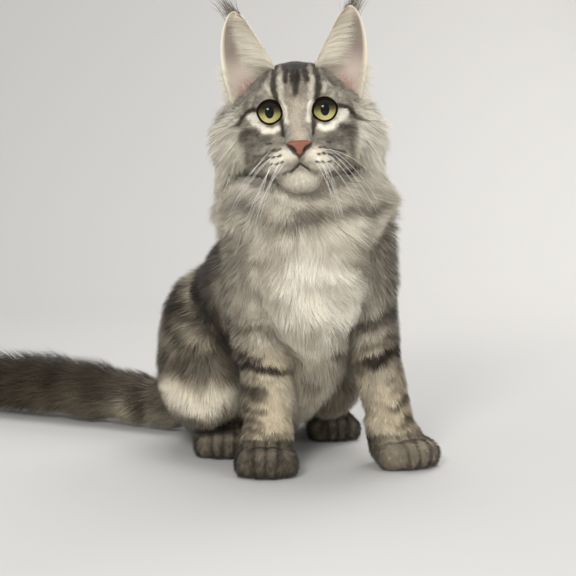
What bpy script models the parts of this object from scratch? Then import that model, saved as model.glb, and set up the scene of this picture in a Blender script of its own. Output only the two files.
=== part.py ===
"""A Maine Coon cat that sits upright and still, at life size.

Units are metres and +Z is up. The cat faces -Y, its left side is towards +X, and its tail lies along
the floor towards -X. The flesh is a set of rounded volumes fused into one skin, which is then parted
into the named pieces of the animal with gaps of GAP. The finished object stands on the floor at Z = 0,
with the origin below the middle of its bounding box.
"""

import math
import random
from typing import NamedTuple

import bmesh
import bpy
from mathutils import Matrix, Vector
from mathutils.bvhtree import BVHTree

# ---------------------------------------------------------------- driving dimensions

GAP = 0.0003
CORE_SHARE = 0.5
FULL_COAT = 1.0

BODY_VOXEL = 0.0035
BODY_TRIANGLES = 1500
BODY_SMOOTHING = 10
HEAD_VOXEL = 0.0017
HEAD_TRIANGLES = 1250
FACE_HOLD = 0.35
HEAD_SMOOTHING = 4
PAW_VOXEL = 0.0018
PAW_TRIANGLES = 250
PAW_SMOOTHING = 3
REGION_SEGMENTS = 6

EYE_RADIUS = 0.0130
EYE_SPACING = 0.0432
EYE_SETBACK = 0.0042
LID_THICKNESS = 0.0021
LID_OPENING = (0.0103, 0.0096)
EYE_TURN_OUT = math.radians(6)
LID_TILT = math.radians(12)

EAR_BASE = Vector((0.0338, 0.0260, 0.0210))
EAR_TIP = Vector((0.0465, 0.0320, 0.0820))
EAR_BASE_HALF = Vector((0.0173, 0.0060, -0.0150))
EAR_TIP_HALF = Vector((0.0235, 0.0010, 0.0))
EAR_BULGE = 0.003
EAR_SUNK = -0.16
EAR_TOP = 0.985
EAR_ROWS = 7
EAR_COLUMNS = 5
EAR_THICKNESS = 0.0028
EAR_CUP_DEPTH = 0.024
EAR_FACING = math.radians(18)

EAR_TIP_ROUNDNESS = 1.5
EAR_EDGE_ROUNDNESS = 0.65
EAR_CUP_FADE = 0.75
EAR_CUP_ROUNDNESS = 0.8

LID_POINTS = 16
LID_CORNER = 0.10
EYE_SEGMENTS = 14
CORNEA_EDGE = 0.62
CORNEA_RISE = 0.0011
MOUTH_GROOVE = 0.0009
MOUTH_HALF = 0.0200
MOUTH_DROP = 0.0085
MOUTH_TOP = -0.0432
MOUTH_STEPS = 10
LIP_LINE = (-0.0335, -0.0385, -0.0440)
WRIST_HEIGHT = 0.036

# Where the body is parted: a point of each cut and the way that its piece lies.
NECK_CUT = ((-0.004, 0.042, 0.200), (0.0, -0.25, 0.97))
WAIST_POINT = (-0.040, 0.104, 0.120)
TAIL_CUTS = (
    ("tail_tip", (-0.295, 0.288, 0.03), (-1.0, 0.38, 0.0)),
    ("tail_middle", (-0.195, 0.240, 0.03), (-1.0, 0.55, 0.0)),
    ("tail_base", (-0.112, 0.190, 0.03), (-1.0, 0.50, 0.0)),
)

LOCK_SEED = 11
LONG_COAT = 0.0105
LONGEST_COAT = 0.030
COAT_BLEND = 6.0
LOCK_ROOT = 0.0045
LOCK_CLEARANCE = 0.0005
FLOOR_CLEARANCE = 0.0012
FLOOR_SPREAD = 0.0012
LOWEST_ROOT = 0.012
SEAM_DEPTH = 0.0004
HEAD_MARGIN = 0.004
ROOT_TRIES = 1500
LOCK_SPACING = (0.0232, 0.08)
LOCK_LENGTH = (0.026, 0.95)
LOCK_WIDTH = (0.0175, 0.26)
LOCK_THICKNESS = (0.0022, 0.040)
LOCK_ROOT_WIDTH = 0.60
LOCK_TIP_THICKNESS = 0.25
LOCK_TAPER = 2.6
LOCK_VARIATION = (0.88, 1.12)
LOCK_LIFTS = (0.85, 1.1)
LOCK_BEND = 0.35
LOWEST_LOCK = 0.8
HIGHEST_LOCK = 1.25
SURFACE_PULL = 0.7
HEADING_MIX = (0.60, 0.25, 0.15)
# How a lock that meets another piece is changed in turn: its length, lift, bend, and root moved back.
LOCK_TRIES = (
    (1.0, 1.0, 0.0, 0.0),
    (0.9, 1.1, 0.3, 0.003),
    (0.9, 1.1, -0.3, 0.003),
    (0.8, 1.2, 0.0, 0.006),
    (0.7, 1.2, 0.0, 0.009),
)
LONG_COATED = ("neck", "chest", "haunch_right", "haunch_left", "rump", "tail_base", "tail_middle", "tail_tip")
# Rows of the place on the left half of the head, then the lock's length, width and lift.
HEAD_LOCK_LIE = (0.45, 0.25, -0.75)
HEAD_LOCKS = (
    (0.052, 0.026, -0.008, 0.034, 0.017, 0.012),
    (0.050, 0.024, -0.030, 0.030, 0.016, 0.010),
    (0.040, 0.014, -0.044, 0.026, 0.014, 0.007),
    (0.043, 0.044, 0.006, 0.048, 0.021, 0.022),
    (0.046, 0.046, -0.016, 0.044, 0.021, 0.019),
    (0.034, 0.062, 0.006, 0.050, 0.022, 0.016),
    (0.012, 0.074, 0.008, 0.050, 0.022, 0.012),
)
# Tufts on the ear's tip as lean and length, and hairs in its cup as place along, place across and length.
EAR_TUFTS = ((0.40, 0.026), (0.10, 0.021))
EAR_HAIRS = ((0.06, 0.08, 0.030), (0.24, 0.06, 0.028))
EAR_HAIR_LIE = (0.75, -0.12, 0.65)

HEAD_CENTRE = Vector((-0.0104, 0.002, 0.2915))
HEAD_ROLL = math.radians(-3)
HEAD_FRAME = Matrix.Translation(HEAD_CENTRE) @ Matrix.Rotation(HEAD_ROLL, 4, "Y")

PALE_FUR = (0.62, 0.58, 0.50, 1.0)
GREY_FUR = (0.36, 0.33, 0.29, 1.0)
BROWN_FUR = (0.20, 0.16, 0.12, 1.0)
PAW_FUR = (0.25, 0.21, 0.17, 1.0)
EAR_SKIN = (0.60, 0.48, 0.43, 1.0)
NOSE_SKIN = (0.52, 0.24, 0.18, 1.0)
IRIS = (0.50, 0.52, 0.16, 1.0)


class Ball(NamedTuple):
    """One rounded volume of flesh, with the coat over it.

    It has a centre and half sizes, the depth of its coat, its turn about +Z in degrees, the way the
    coat lies on it, and how much the coat also spreads away from the throat.
    """

    centre: tuple
    radii: tuple
    coat: float = 0.0
    yaw: float = 0.0
    lie: tuple = (0.0, 0.0, -1.0)
    spread: float = 0.0


THROAT = Vector((-0.006, -0.004, 0.240))

# Spine, from the rump up to the top of the neck.
PELVIS = Ball((-0.060, 0.150, 0.052), (0.052, 0.054, 0.056), 0.014, 28, (-0.30, 0.45, -0.75))
LOIN = Ball((-0.048, 0.120, 0.098), (0.050, 0.052, 0.052), 0.014, 28, (-0.25, 0.45, -0.80))
RIBS = Ball((-0.029, 0.086, 0.143), (0.050, 0.051, 0.050), 0.015, 25, (-0.15, 0.40, -0.85))
CHEST = Ball((-0.004, 0.048, 0.172), (0.046, 0.043, 0.045), 0.026, 14, (0.0, 0.20, -0.90), 0.35)
SHOULDERS = Ball((-0.004, 0.046, 0.208), (0.048, 0.038, 0.036), 0.034, 8, (0.0, 0.10, -0.65), 0.50)
NECK_LOW = Ball((-0.006, 0.050, 0.234), (0.050, 0.031, 0.028), 0.036, 4, (0.0, 0.05, -0.50), 0.75)
NECK_TOP = Ball((-0.008, 0.053, 0.256), (0.049, 0.030, 0.022), 0.034, 0, (0.0, 0.05, -0.50), 0.80)
NECK_BACK = Ball((-0.009, 0.056, 0.268), (0.043, 0.030, 0.020), 0.030, 0, (0.0, 0.10, -0.50), 0.75)
BIB_TOP = Ball((-0.005, 0.014, 0.196), (0.032, 0.014, 0.022), 0.032, 4, (0.0, -0.05, -0.80), 0.50)
BIB_LOW = Ball((0.003, 0.018, 0.152), (0.024, 0.014, 0.030), 0.024, 8, (0.0, 0.0, -1.0), 0.15)
BELLY = Ball((-0.014, 0.092, 0.084), (0.034, 0.044, 0.034), 0.018, 20, (-0.10, 0.20, -0.90))

# Limbs, each from the body down to the floor.
THIGH_LIE = (-0.20, 0.40, -0.75)
THIGH_HALF = (0.066, 0.068)
THIGH_DEPTH = 0.12
THIGH_INSIDE = 0.006
THIGH_SIDES = 14
THIGH_YAW = 22
FORELEG_RIGHT = [
    Ball((-0.037, 0.044, 0.184), (0.024, 0.030, 0.030), 0.010),
    Ball((-0.040, 0.050, 0.130), (0.021, 0.025, 0.024), 0.007),
    Ball((-0.036, 0.036, 0.085), (0.0175, 0.019, 0.020), 0.005),
    Ball((-0.034, 0.026, 0.036), (0.0165, 0.017, 0.020), 0.004),
]
FORELEG_LEFT = [
    Ball((0.040, 0.056, 0.184), (0.024, 0.030, 0.030), 0.010),
    Ball((0.048, 0.066, 0.130), (0.021, 0.025, 0.024), 0.007),
    Ball((0.056, 0.058, 0.085), (0.0175, 0.019, 0.020), 0.005),
    Ball((0.068, 0.056, 0.036), (0.0165, 0.017, 0.020), 0.004),
]
HAUNCH_RIGHT = [
    Ball((-0.087, 0.123, 0.097), (0.032, 0.040, 0.052), 0.013, 25, THIGH_LIE),
    Ball((-0.092, 0.092, 0.074), (0.028, 0.040, 0.044), 0.012, 15, THIGH_LIE),
    Ball((-0.086, 0.074, 0.066), (0.022, 0.026, 0.034), 0.011, 10, THIGH_LIE),
    Ball((-0.090, 0.120, 0.050), (0.026, 0.048, 0.028), 0.011, 4, THIGH_LIE),
]
HAUNCH_LEFT = [
    Ball((-0.006, 0.172, 0.084), (0.032, 0.040, 0.046), 0.013, 25, THIGH_LIE),
    Ball((0.010, 0.142, 0.074), (0.028, 0.040, 0.044), 0.012, 20, THIGH_LIE),
    Ball((0.020, 0.122, 0.066), (0.022, 0.026, 0.034), 0.011, 15, THIGH_LIE),
    Ball((0.006, 0.172, 0.050), (0.026, 0.046, 0.028), 0.011, 20, THIGH_LIE),
]
TAIL_LIE = (-0.88, 0.46, -0.05)
TAIL = [
    Ball((-0.076, 0.176, 0.040), (0.026, 0.026, 0.026), 0.012, 0, (-0.60, 0.30, -0.60)),
    Ball((-0.110, 0.188, 0.027), (0.013, 0.013, 0.014), 0.012, 0, TAIL_LIE),
    Ball((-0.148, 0.208, 0.026), (0.011, 0.011, 0.012), 0.014, 0, TAIL_LIE),
    Ball((-0.190, 0.235, 0.029), (0.010, 0.010, 0.011), 0.020, 0, TAIL_LIE),
    Ball((-0.235, 0.261, 0.031), (0.009, 0.009, 0.010), 0.023, 0, TAIL_LIE),
    Ball((-0.290, 0.286, 0.031), (0.008, 0.008, 0.008), 0.024, 0, TAIL_LIE),
    Ball((-0.348, 0.306, 0.029), (0.006, 0.006, 0.006), 0.022, 0, TAIL_LIE),
    Ball((-0.380, 0.315, 0.023), (0.004, 0.004, 0.004), 0.013, 0, TAIL_LIE),
]

SPINE = [NECK_BACK, NECK_TOP, NECK_LOW, SHOULDERS, CHEST, RIBS, LOIN, PELVIS]
BIB = [SHOULDERS, BIB_TOP, BIB_LOW, CHEST]
UNDERSIDE = [BIB_LOW, BELLY, PELVIS]

# The head, in its own frame: the origin midway between the eyes, +Y to the back of the skull.
CRANIUM = Ball((0.0, 0.034, 0.004), (0.037, 0.040, 0.032), 0.004)
NAPE = Ball((0.0, 0.050, -0.014), (0.036, 0.030, 0.034), 0.006)
FOREHEAD = Ball((0.0, 0.012, 0.010), (0.028, 0.020, 0.021), 0.003)
BRIDGE_TOP = Ball((0.0, 0.003, -0.003), (0.0120, 0.0145, 0.012), 0.002)
BRIDGE_TIP = Ball((0.0, -0.0275, -0.0245), (0.0085, 0.0105, 0.0080), 0.0015)
CHIN_BACK = Ball((0.0, 0.006, -0.047), (0.017, 0.017, 0.010), 0.003)
CHIN_TIP = Ball((0.0, -0.0175, -0.0525), (0.0125, 0.011, 0.0085), 0.003)
CHEEK_AND_PAD = [
    Ball((0.020, 0.034, 0.000), (0.022, 0.026, 0.026), 0.004),
    Ball((0.029, 0.028, -0.020), (0.021, 0.024, 0.022), 0.009),
    Ball((0.015, -0.004, -0.034), (0.015, 0.017, 0.014), 0.003),
    Ball((0.0118, -0.0215, -0.0385), (0.0128, 0.0135, 0.0110), 0.002),
]
JAW = [
    Ball((0.025, 0.030, -0.032), (0.016, 0.020, 0.015), 0.009),
    Ball((0.000, 0.000, -0.048), (0.016, 0.015, 0.010), 0.003),
]
EYE_RIM = [
    Ball((0.0195, 0.0065, 0.0125), (0.0125, 0.0110, 0.0065), 0.002),
    Ball((0.0310, 0.0170, 0.0020), (0.0115, 0.0125, 0.0100), 0.003),
    Ball((0.0225, 0.0060, -0.0150), (0.0135, 0.0135, 0.0080), 0.002),
    Ball((0.0080, -0.0010, -0.0120), (0.0075, 0.0110, 0.0090), 0.002),
]
NOSE_CORNER = Ball((0.0053, -0.0375, -0.0252), (0.0032, 0.0036, 0.0026))
NOSE_POINT = Ball((0.0, -0.0375, -0.0325), (0.0018, 0.0036, 0.0030))
NOSTRIL_INNER = Ball((0.0026, -0.0415, -0.0300), (0.0011, 0.0040, 0.0012))
NOSTRIL_OUTER = Ball((0.0054, -0.0400, -0.0282), (0.0010, 0.0040, 0.0008))
NOSE_SEGMENTS = 8


class Paw(NamedTuple):
    """A foot: the middle of its toes on the floor, the way it points, its half width, and its reach back."""

    toes: tuple
    heading: float
    half_width: float
    height: float
    back: float
    ankle: tuple


PAWS = {
    "forepaw_right": Paw((-0.035, -0.002), -2, 0.0262, 0.0300, 0.026, (0.000, 0.028, 0.036)),
    "forepaw_left": Paw((0.083, 0.033), 28, 0.0285, 0.0290, 0.026, (-0.005, 0.028, 0.036)),
    "hindpaw_right": Paw((-0.072, 0.075), 0, 0.0250, 0.0260, 0.086, (-0.006, 0.090, 0.020)),
    "hindpaw_left": Paw((0.024, 0.147), 10, 0.0240, 0.0255, 0.060, (0.000, 0.066, 0.020)),
}


# ---------------------------------------------------------------- tools


def clear_scene():
    """Empties the scene and gives back the collections for the cat and for its cutters."""
    for item in list(bpy.data.objects):
        bpy.data.objects.remove(item)
    made = []
    for name in ("maine_coon_cat", "cutters"):
        collection = bpy.data.collections.new(name)
        bpy.context.scene.collection.children.link(collection)
        made.append(collection)
    made[1].hide_render = True
    return made


CAT, CUTTERS = clear_scene()


def new_object(name, bm, collection=CUTTERS):
    """An object made from a bmesh, which is freed. All its faces become triangles."""
    bmesh.ops.triangulate(bm, faces=bm.faces)
    bmesh.ops.recalc_face_normals(bm, faces=bm.faces)
    mesh = bpy.data.meshes.new(name)
    bm.to_mesh(mesh)
    bm.free()
    made = bpy.data.objects.new(name, mesh)
    collection.objects.link(made)
    if collection is CUTTERS:
        made.display_type = "WIRE"
    return made


def bake_modifiers(item):
    """Puts what the modifiers make into the object's own mesh, as triangles."""
    graph = bpy.context.evaluated_depsgraph_get()
    graph.update()
    mesh = bpy.data.meshes.new_from_object(item.evaluated_get(graph))
    bm = bmesh.new()
    bm.from_mesh(mesh)
    bmesh.ops.triangulate(bm, faces=bm.faces)
    bm.to_mesh(mesh)
    bm.free()
    item.modifiers.clear()
    old = item.data
    item.data = mesh
    bpy.data.meshes.remove(old)
    return item


def ball_points(ball, extra=0.0, share=0.0, segments=16, frame=Matrix()):
    """Points spread over a ball, grown by extra and by a share of its coat."""
    bm = bmesh.new()
    grown = [r + extra + share * ball.coat for r in ball.radii]
    matrix = (
        frame
        @ Matrix.Translation(ball.centre)
        @ Matrix.Rotation(math.radians(ball.yaw), 4, "Z")
        @ Matrix.Diagonal((*grown, 1.0))
    )
    bmesh.ops.create_uvsphere(bm, u_segments=segments, v_segments=segments // 2, radius=1.0, matrix=matrix)
    points = [v.co.copy() for v in bm.verts]
    bm.free()
    return points


def add_hull(bm, points):
    """Adds the convex hull of the points to bm."""
    hull = bmesh.new()
    for point in points:
        hull.verts.new(point)
    found = bmesh.ops.convex_hull(hull, input=hull.verts)
    inner = [g for g in found["geom_interior"] if isinstance(g, bmesh.types.BMVert)]
    bmesh.ops.delete(hull, geom=inner, context="VERTS")
    mesh = bpy.data.meshes.new("hull")
    hull.to_mesh(mesh)
    hull.free()
    bm.from_mesh(mesh)
    bpy.data.meshes.remove(mesh)


def add_chain(bm, balls, extra=0.0, share=0.0, segments=16, frame=Matrix()):
    """Adds a string of balls, each hulled with the next. One ball alone is added by itself."""
    pairs = list(zip(balls, balls[1:])) or [(balls[0], balls[0])]
    for first, second in pairs:
        points = ball_points(first, extra, share, segments, frame)
        points += ball_points(second, extra, share, segments, frame)
        add_hull(bm, points)


def mirrored(ball):
    """The same ball on the other side of the plane X = 0."""
    x, y, z = ball.centre
    return Ball((-x, y, z), ball.radii, ball.coat, -ball.yaw)


def fused(name, bm, voxel, smoothing, triangles, coarseness=None):
    """One smooth closed skin round all that bm holds, thinned to about that many triangles.

    coarseness(place) runs from near 0, where the triangles stay small, to 1, where they may be large.
    """
    item = new_object(name, bm)
    remesh = item.modifiers.new("fuse", "REMESH")
    remesh.mode = "VOXEL"
    remesh.voxel_size = voxel
    smooth = item.modifiers.new("soften", "SMOOTH")
    smooth.factor = 0.5
    smooth.iterations = smoothing
    bake_modifiers(item)
    thin = item.modifiers.new("thin", "DECIMATE")
    thin.ratio = min(1.0, triangles / len(item.data.polygons))
    if coarseness:
        group = item.vertex_groups.new(name="coarse")
        for vert in item.data.vertices:
            group.add([vert.index], coarseness(vert.co), "REPLACE")
        thin.vertex_group = group.name
    bake_modifiers(item)
    item.vertex_groups.clear()
    return item


def boolean(target, others, operation, solver="EXACT"):
    """Joins to the target, or cuts from it, every one of the others, which are then removed.

    The finely cut head, the many thin locks of a coat, and surfaces that run close along each other
    are left to the MANIFOLD solver, because EXACT leaves open edges there.
    """
    tools = bpy.data.collections.new("tools")
    for other in others:
        tools.objects.link(other)
    cut = target.modifiers.new(operation.lower(), "BOOLEAN")
    cut.operation = operation
    cut.solver = solver
    cut.operand_type = "COLLECTION"
    cut.collection = tools
    bake_modifiers(target)
    bpy.data.collections.remove(tools)
    for other in others:
        bpy.data.objects.remove(other)
    return target


def keep_largest(item):
    """Leaves only the largest closed surface of the object's mesh."""
    bm = bmesh.new()
    bm.from_mesh(item.data)
    islands = []
    left = set(bm.faces)
    while left:
        island = set()
        stack = [left.pop()]
        while stack:
            face = stack.pop()
            island.add(face)
            for edge in face.edges:
                for other in edge.link_faces:
                    if other in left:
                        left.discard(other)
                        stack.append(other)
        islands.append(island)
    islands.sort(key=lambda island: sum(f.calc_area() for f in island))
    scraps = [f for island in islands[:-1] for f in island]
    bmesh.ops.delete(bm, geom=scraps, context="FACES")
    bmesh.ops.delete(bm, geom=[v for v in bm.verts if not v.link_faces], context="VERTS")
    bm.to_mesh(item.data)
    bm.free()
    return item


def copy_of(item, name, collection=CUTTERS):
    """A second object with its own copy of the mesh."""
    made = bpy.data.objects.new(name, item.data.copy())
    collection.objects.link(made)
    return made


def swollen(item, by):
    """A copy of the object, grown by that much along its normals, for cutting its neighbours clear."""
    made = copy_of(item, item.name + "_clearance")
    grow = made.modifiers.new("grow", "DISPLACE")
    grow.mid_level = 0.0
    grow.strength = by
    return bake_modifiers(made)


def cut_clear(item, other, by):
    """Cuts the item back where it would come nearer to the other than that."""
    return boolean(item, [swollen(other, by)], "DIFFERENCE", "MANIFOLD")


def slab(point, normal, offset, size=0.5):
    """A big block with one face offset from the point, on the side that the normal points to."""
    bm = bmesh.new()
    bmesh.ops.create_cube(bm, size=size)
    turn = Vector((0, 0, 1)).rotation_difference(Vector(normal).normalized()).to_matrix().to_4x4()
    place = Matrix.Translation(Vector(point)) @ turn @ Matrix.Translation((0, 0, size / 2 + offset))
    bmesh.ops.transform(bm, matrix=place, verts=bm.verts)
    return new_object("slab", bm)


def region(balls, extra, share):
    """The convex space round a few balls, out to a share of their coat and a little more."""
    bm = bmesh.new()
    points = []
    for ball in balls:
        points += ball_points(ball, extra, share, REGION_SEGMENTS)
    add_hull(bm, points)
    return new_object("region", bm)


def thigh_disc(balls, side, grow):
    """A thick oval disc that takes in one thigh, from inside the rump out past its coat."""
    bm = bmesh.new()
    middle = (Vector(balls[0].centre) + Vector(balls[2].centre)) / 2
    bmesh.ops.create_cone(bm, cap_ends=True, segments=THIGH_SIDES, radius1=1.0, radius2=1.0, depth=1.0)
    length, height = THIGH_HALF
    size = Matrix.Diagonal((length + grow, height + grow, THIGH_DEPTH, 1.0))
    inner = Matrix.Translation((0, 0, THIGH_DEPTH / 2 - THIGH_INSIDE - grow))
    turn = Matrix.Rotation(math.radians(THIGH_YAW), 4, "Z") @ Matrix.Rotation(side * math.pi / 2, 4, "Y")
    place = Matrix.Translation(middle) @ turn @ Matrix.Rotation(math.pi / 2, 4, "Z")
    bmesh.ops.transform(bm, matrix=place @ inner @ size, verts=bm.verts)
    return new_object("thigh", bm)


def part_off(whole, name, make_cutter):
    """Parts a piece from the whole: make_cutter(grow) gives the space that the piece fills."""
    piece = copy_of(whole, name)
    boolean(piece, [make_cutter(0.0)], "INTERSECT")
    boolean(whole, [make_cutter(GAP)], "DIFFERENCE")
    return keep_largest(piece)


def finish_node(item, name, colour, roughness=0.8):
    """Gives the piece its name, its material and its place in the cat's collection."""
    keep_largest(item)
    item.name = name
    CUTTERS.objects.unlink(item)
    CAT.objects.link(item)
    item.display_type = "TEXTURED"
    material = bpy.data.materials.new(name)
    material.use_nodes = True
    shader = material.node_tree.nodes["Principled BSDF"]
    shader.inputs["Base Color"].default_value = colour
    shader.inputs["Roughness"].default_value = roughness
    shader.inputs["Metallic"].default_value = 0.0
    item.data.materials.clear()
    item.data.materials.append(material)
    item.data.shade_smooth()
    item.data.set_sharp_from_angle(angle=math.radians(50))
    return item


# ---------------------------------------------------------------- body


def body_skin():
    """The whole animal but its head and feet: trunk, neck, limbs and tail in one skin."""
    bm = bmesh.new()
    for chain in (SPINE, BIB, UNDERSIDE, HAUNCH_RIGHT, HAUNCH_LEFT, TAIL):
        add_chain(bm, chain, share=CORE_SHARE)
    for chain in (FORELEG_RIGHT, FORELEG_LEFT):
        add_chain(bm, chain, share=FULL_COAT)
    skin = fused("body", bm, BODY_VOXEL, BODY_SMOOTHING, BODY_TRIANGLES)
    return boolean(skin, [slab((0, 0, 0), (0, 0, -1), 0.0, 1.2)], "DIFFERENCE")


def part_body(whole):
    """Parts the body skin into its named pieces."""
    pieces = {}
    for name, balls, side in (("haunch_right", HAUNCH_RIGHT, -1), ("haunch_left", HAUNCH_LEFT, 1)):
        pieces[name] = part_off(whole, name, lambda grow, b=balls, s=side: thigh_disc(b, s, grow))
    for name, balls in (("foreleg_right", FORELEG_RIGHT), ("foreleg_left", FORELEG_LEFT)):
        reach = [balls[1], balls[2], balls[3]]
        pieces[name] = part_off(whole, name, lambda grow, b=reach: region(b, 0.006 + grow, FULL_COAT))
        boolean(pieces[name], [slab((0, 0, WRIST_HEIGHT), (0, 0, -1), 0.0)], "DIFFERENCE")
    for name, point, normal in TAIL_CUTS:
        pieces[name] = part_off(whole, name, lambda grow, p=point, n=normal: slab(p, n, -grow))
    pieces["neck"] = part_off(whole, "neck", lambda grow: slab(*NECK_CUT, -grow))
    up_the_back = Vector(RIBS.centre) - Vector(PELVIS.centre)
    pieces["chest"] = part_off(whole, "chest", lambda grow: slab(WAIST_POINT, up_the_back, -grow))
    pieces["rump"] = keep_largest(whole)
    return pieces


def toe_balls(paw):
    """The four toes of a foot, in its own frame with -Y towards their tips."""
    spread = paw.half_width * 0.46
    toes = []
    for slot, (forward, rise) in enumerate(((0.006, 0.0), (0.0, 0.0015), (0.0, 0.0015), (0.006, 0.0))):
        x = (slot - 1.5) * spread
        centre = (x, forward - 0.003, paw.height * 0.36 + rise)
        toes.append(Ball(centre, (spread * 0.60, 0.0130, paw.height * 0.46)))
    return toes


def paw_skin(name, paw):
    """A foot with its toes and its reach back to the wrist or the heel."""
    bm = bmesh.new()
    frame = Matrix.Translation((*paw.toes, 0.0)) @ Matrix.Rotation(math.radians(paw.heading), 4, "Z")
    toes = toe_balls(paw)
    knuckles = Ball((0.0, 0.012, paw.height * 0.46), (paw.half_width * 0.86, 0.014, paw.height * 0.50))
    for toe in toes:
        add_chain(bm, [toe, Ball((toe.centre[0] * 0.8, 0.014, paw.height * 0.45), toe.radii)], frame=frame)
    heel = (paw.ankle[0], paw.back, paw.height * 0.45)
    sole = Ball(heel, (paw.half_width * 0.62, 0.014, paw.height * 0.48))
    add_chain(bm, [knuckles, sole], frame=frame)
    ankle = Ball(paw.ankle, (0.0195, 0.0205, 0.016))
    add_chain(bm, [knuckles, ankle], frame=frame)
    add_chain(bm, [sole, ankle], frame=frame)
    skin = fused(name, bm, PAW_VOXEL, PAW_SMOOTHING, PAW_TRIANGLES)
    return boolean(skin, [slab((*paw.toes, 0), (0, 0, -1), 0.0)], "DIFFERENCE")


# ---------------------------------------------------------------- head


def back_of_head(place):
    """How coarse the head may be at a place: fine on the face, and 1 where the ruff hides it."""
    local = HEAD_FRAME.inverted() @ place
    return min(1.0, max(FACE_HOLD, (local.y - 0.010) / 0.03))


def head_skin():
    """Skull, cheeks, muzzle and chin in one skin."""
    bm = bmesh.new()
    share = {"share": FULL_COAT, "frame": HEAD_FRAME}
    add_chain(bm, [NAPE, CRANIUM, FOREHEAD, BRIDGE_TOP, BRIDGE_TIP], **share)
    add_chain(bm, [NAPE, CHIN_BACK, CHIN_TIP], **share)
    for half in (CHEEK_AND_PAD, JAW, EYE_RIM):
        add_chain(bm, half, **share)
        add_chain(bm, [mirrored(ball) for ball in half], **share)
    return fused("head", bm, HEAD_VOXEL, HEAD_SMOOTHING, HEAD_TRIANGLES, back_of_head)


def eye_frame(side):
    """Where one eye sits: +Z is the way it looks, and +X runs along its lids."""
    look = Vector((side * math.sin(EYE_TURN_OUT), -math.cos(EYE_TURN_OUT), 0.02)).normalized()
    across = Vector((0, 0, 1)).cross(look).normalized()
    up = look.cross(across)
    turn = Matrix((across, up, look)).transposed().to_4x4()
    centre = Matrix.Translation((side * EYE_SPACING / 2, EYE_SETBACK, 0.0))
    tilt = Matrix.Rotation(side * LID_TILT, 4, "Z")
    return HEAD_FRAME @ centre @ turn @ tilt


def sphere(name, radius, frame, segments=EYE_SEGMENTS, rings=EYE_SEGMENTS * 2 // 3):
    """A ball of that radius round the frame's origin."""
    bm = bmesh.new()
    bmesh.ops.create_uvsphere(bm, u_segments=segments, v_segments=rings, radius=radius, matrix=frame)
    return new_object(name, bm)


def eyeball(name, side):
    """An eyeball whose cornea bulges a little at the front."""
    bm = bmesh.new()
    rings = EYE_SEGMENTS * 2 // 3
    bmesh.ops.create_uvsphere(bm, u_segments=EYE_SEGMENTS, v_segments=rings, radius=EYE_RADIUS)
    for vert in bm.verts:
        lift = max(0.0, vert.co.z / EYE_RADIUS - CORNEA_EDGE) / (1 - CORNEA_EDGE)
        vert.co.z += CORNEA_RISE * lift * lift * (3 - 2 * lift)
    bmesh.ops.transform(bm, matrix=eye_frame(side), verts=bm.verts)
    return new_object(name, bm)


def lid_opening(side):
    """A block from inside the eye out through its lids, with the outline of the open eye."""
    bm = bmesh.new()
    rim = []
    for step in range(LID_POINTS):
        angle = 2 * math.pi * step / LID_POINTS
        corner = 1.0 + LID_CORNER * abs(math.cos(angle)) ** 6
        place = (LID_OPENING[0] * corner * math.cos(angle), LID_OPENING[1] * math.sin(angle), 0.0)
        rim.append(bm.verts.new(place))
    face = bm.faces.new(rim)
    top = bmesh.ops.extrude_face_region(bm, geom=[face])["geom"]
    moved = [item for item in top if isinstance(item, bmesh.types.BMVert)]
    bmesh.ops.translate(bm, verts=moved, vec=(0, 0, 2 * EYE_RADIUS))
    bmesh.ops.transform(bm, matrix=eye_frame(side), verts=bm.verts)
    return new_object("opening", bm)


def surface_point(item, x, z):
    """Where a line from the front, at that place of the head's frame, first meets the object."""
    start = HEAD_FRAME @ Vector((x, -0.2, z))
    ahead = HEAD_FRAME.to_3x3() @ Vector((0, 1, 0))
    hit, place, _, _ = item.ray_cast(start, ahead)
    return place if hit else None


def groove(item, route, radius):
    """A round-bottomed line cut along the route, which is given as seen from the front of the head."""
    curve = bpy.data.curves.new("groove", "CURVE")
    curve.dimensions = "3D"
    curve.bevel_depth = radius
    curve.bevel_resolution = 0
    curve.use_fill_caps = True
    points = [p for p in (surface_point(item, x, z) for x, z in route) if p]
    spline = curve.splines.new("POLY")
    spline.points.add(len(points) - 1)
    for point, place in zip(spline.points, points):
        point.co = (*place, 1.0)
    line = bpy.data.objects.new("groove", curve)
    CUTTERS.objects.link(line)
    graph = bpy.context.evaluated_depsgraph_get()
    mesh = bpy.data.meshes.new_from_object(line.evaluated_get(graph))
    bpy.data.objects.remove(line)
    bm = bmesh.new()
    bm.from_mesh(mesh)
    bmesh.ops.remove_doubles(bm, verts=bm.verts, dist=0.00005)
    return new_object("groove", bm)


def mouth_route(side):
    """Half of the mouth's line, from below the nose out and down to its corner."""
    route = []
    for step in range(MOUTH_STEPS + 1):
        t = step / MOUTH_STEPS
        route.append((side * (GAP + MOUTH_HALF * t), MOUTH_TOP - MOUTH_DROP * t**0.8))
    return route


def nose_leather():
    """The bare tip of the nose, wide above and narrow below, with its two nostrils."""
    bm = bmesh.new()
    points = []
    for ball in (NOSE_CORNER, mirrored(NOSE_CORNER), NOSE_POINT):
        points += ball_points(ball, frame=HEAD_FRAME, segments=NOSE_SEGMENTS)
    add_hull(bm, points)
    return new_object("nose", bm)


def nostril(side):
    """One comma-shaped nostril, which runs out and up from the middle of the nose."""
    bm = bmesh.new()
    points = []
    for ball in (NOSTRIL_INNER, NOSTRIL_OUTER):
        placed = ball if side > 0 else mirrored(ball)
        points += ball_points(placed, frame=HEAD_FRAME, segments=NOSE_SEGMENTS)
    add_hull(bm, points)
    return new_object("nostril", bm)


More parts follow.
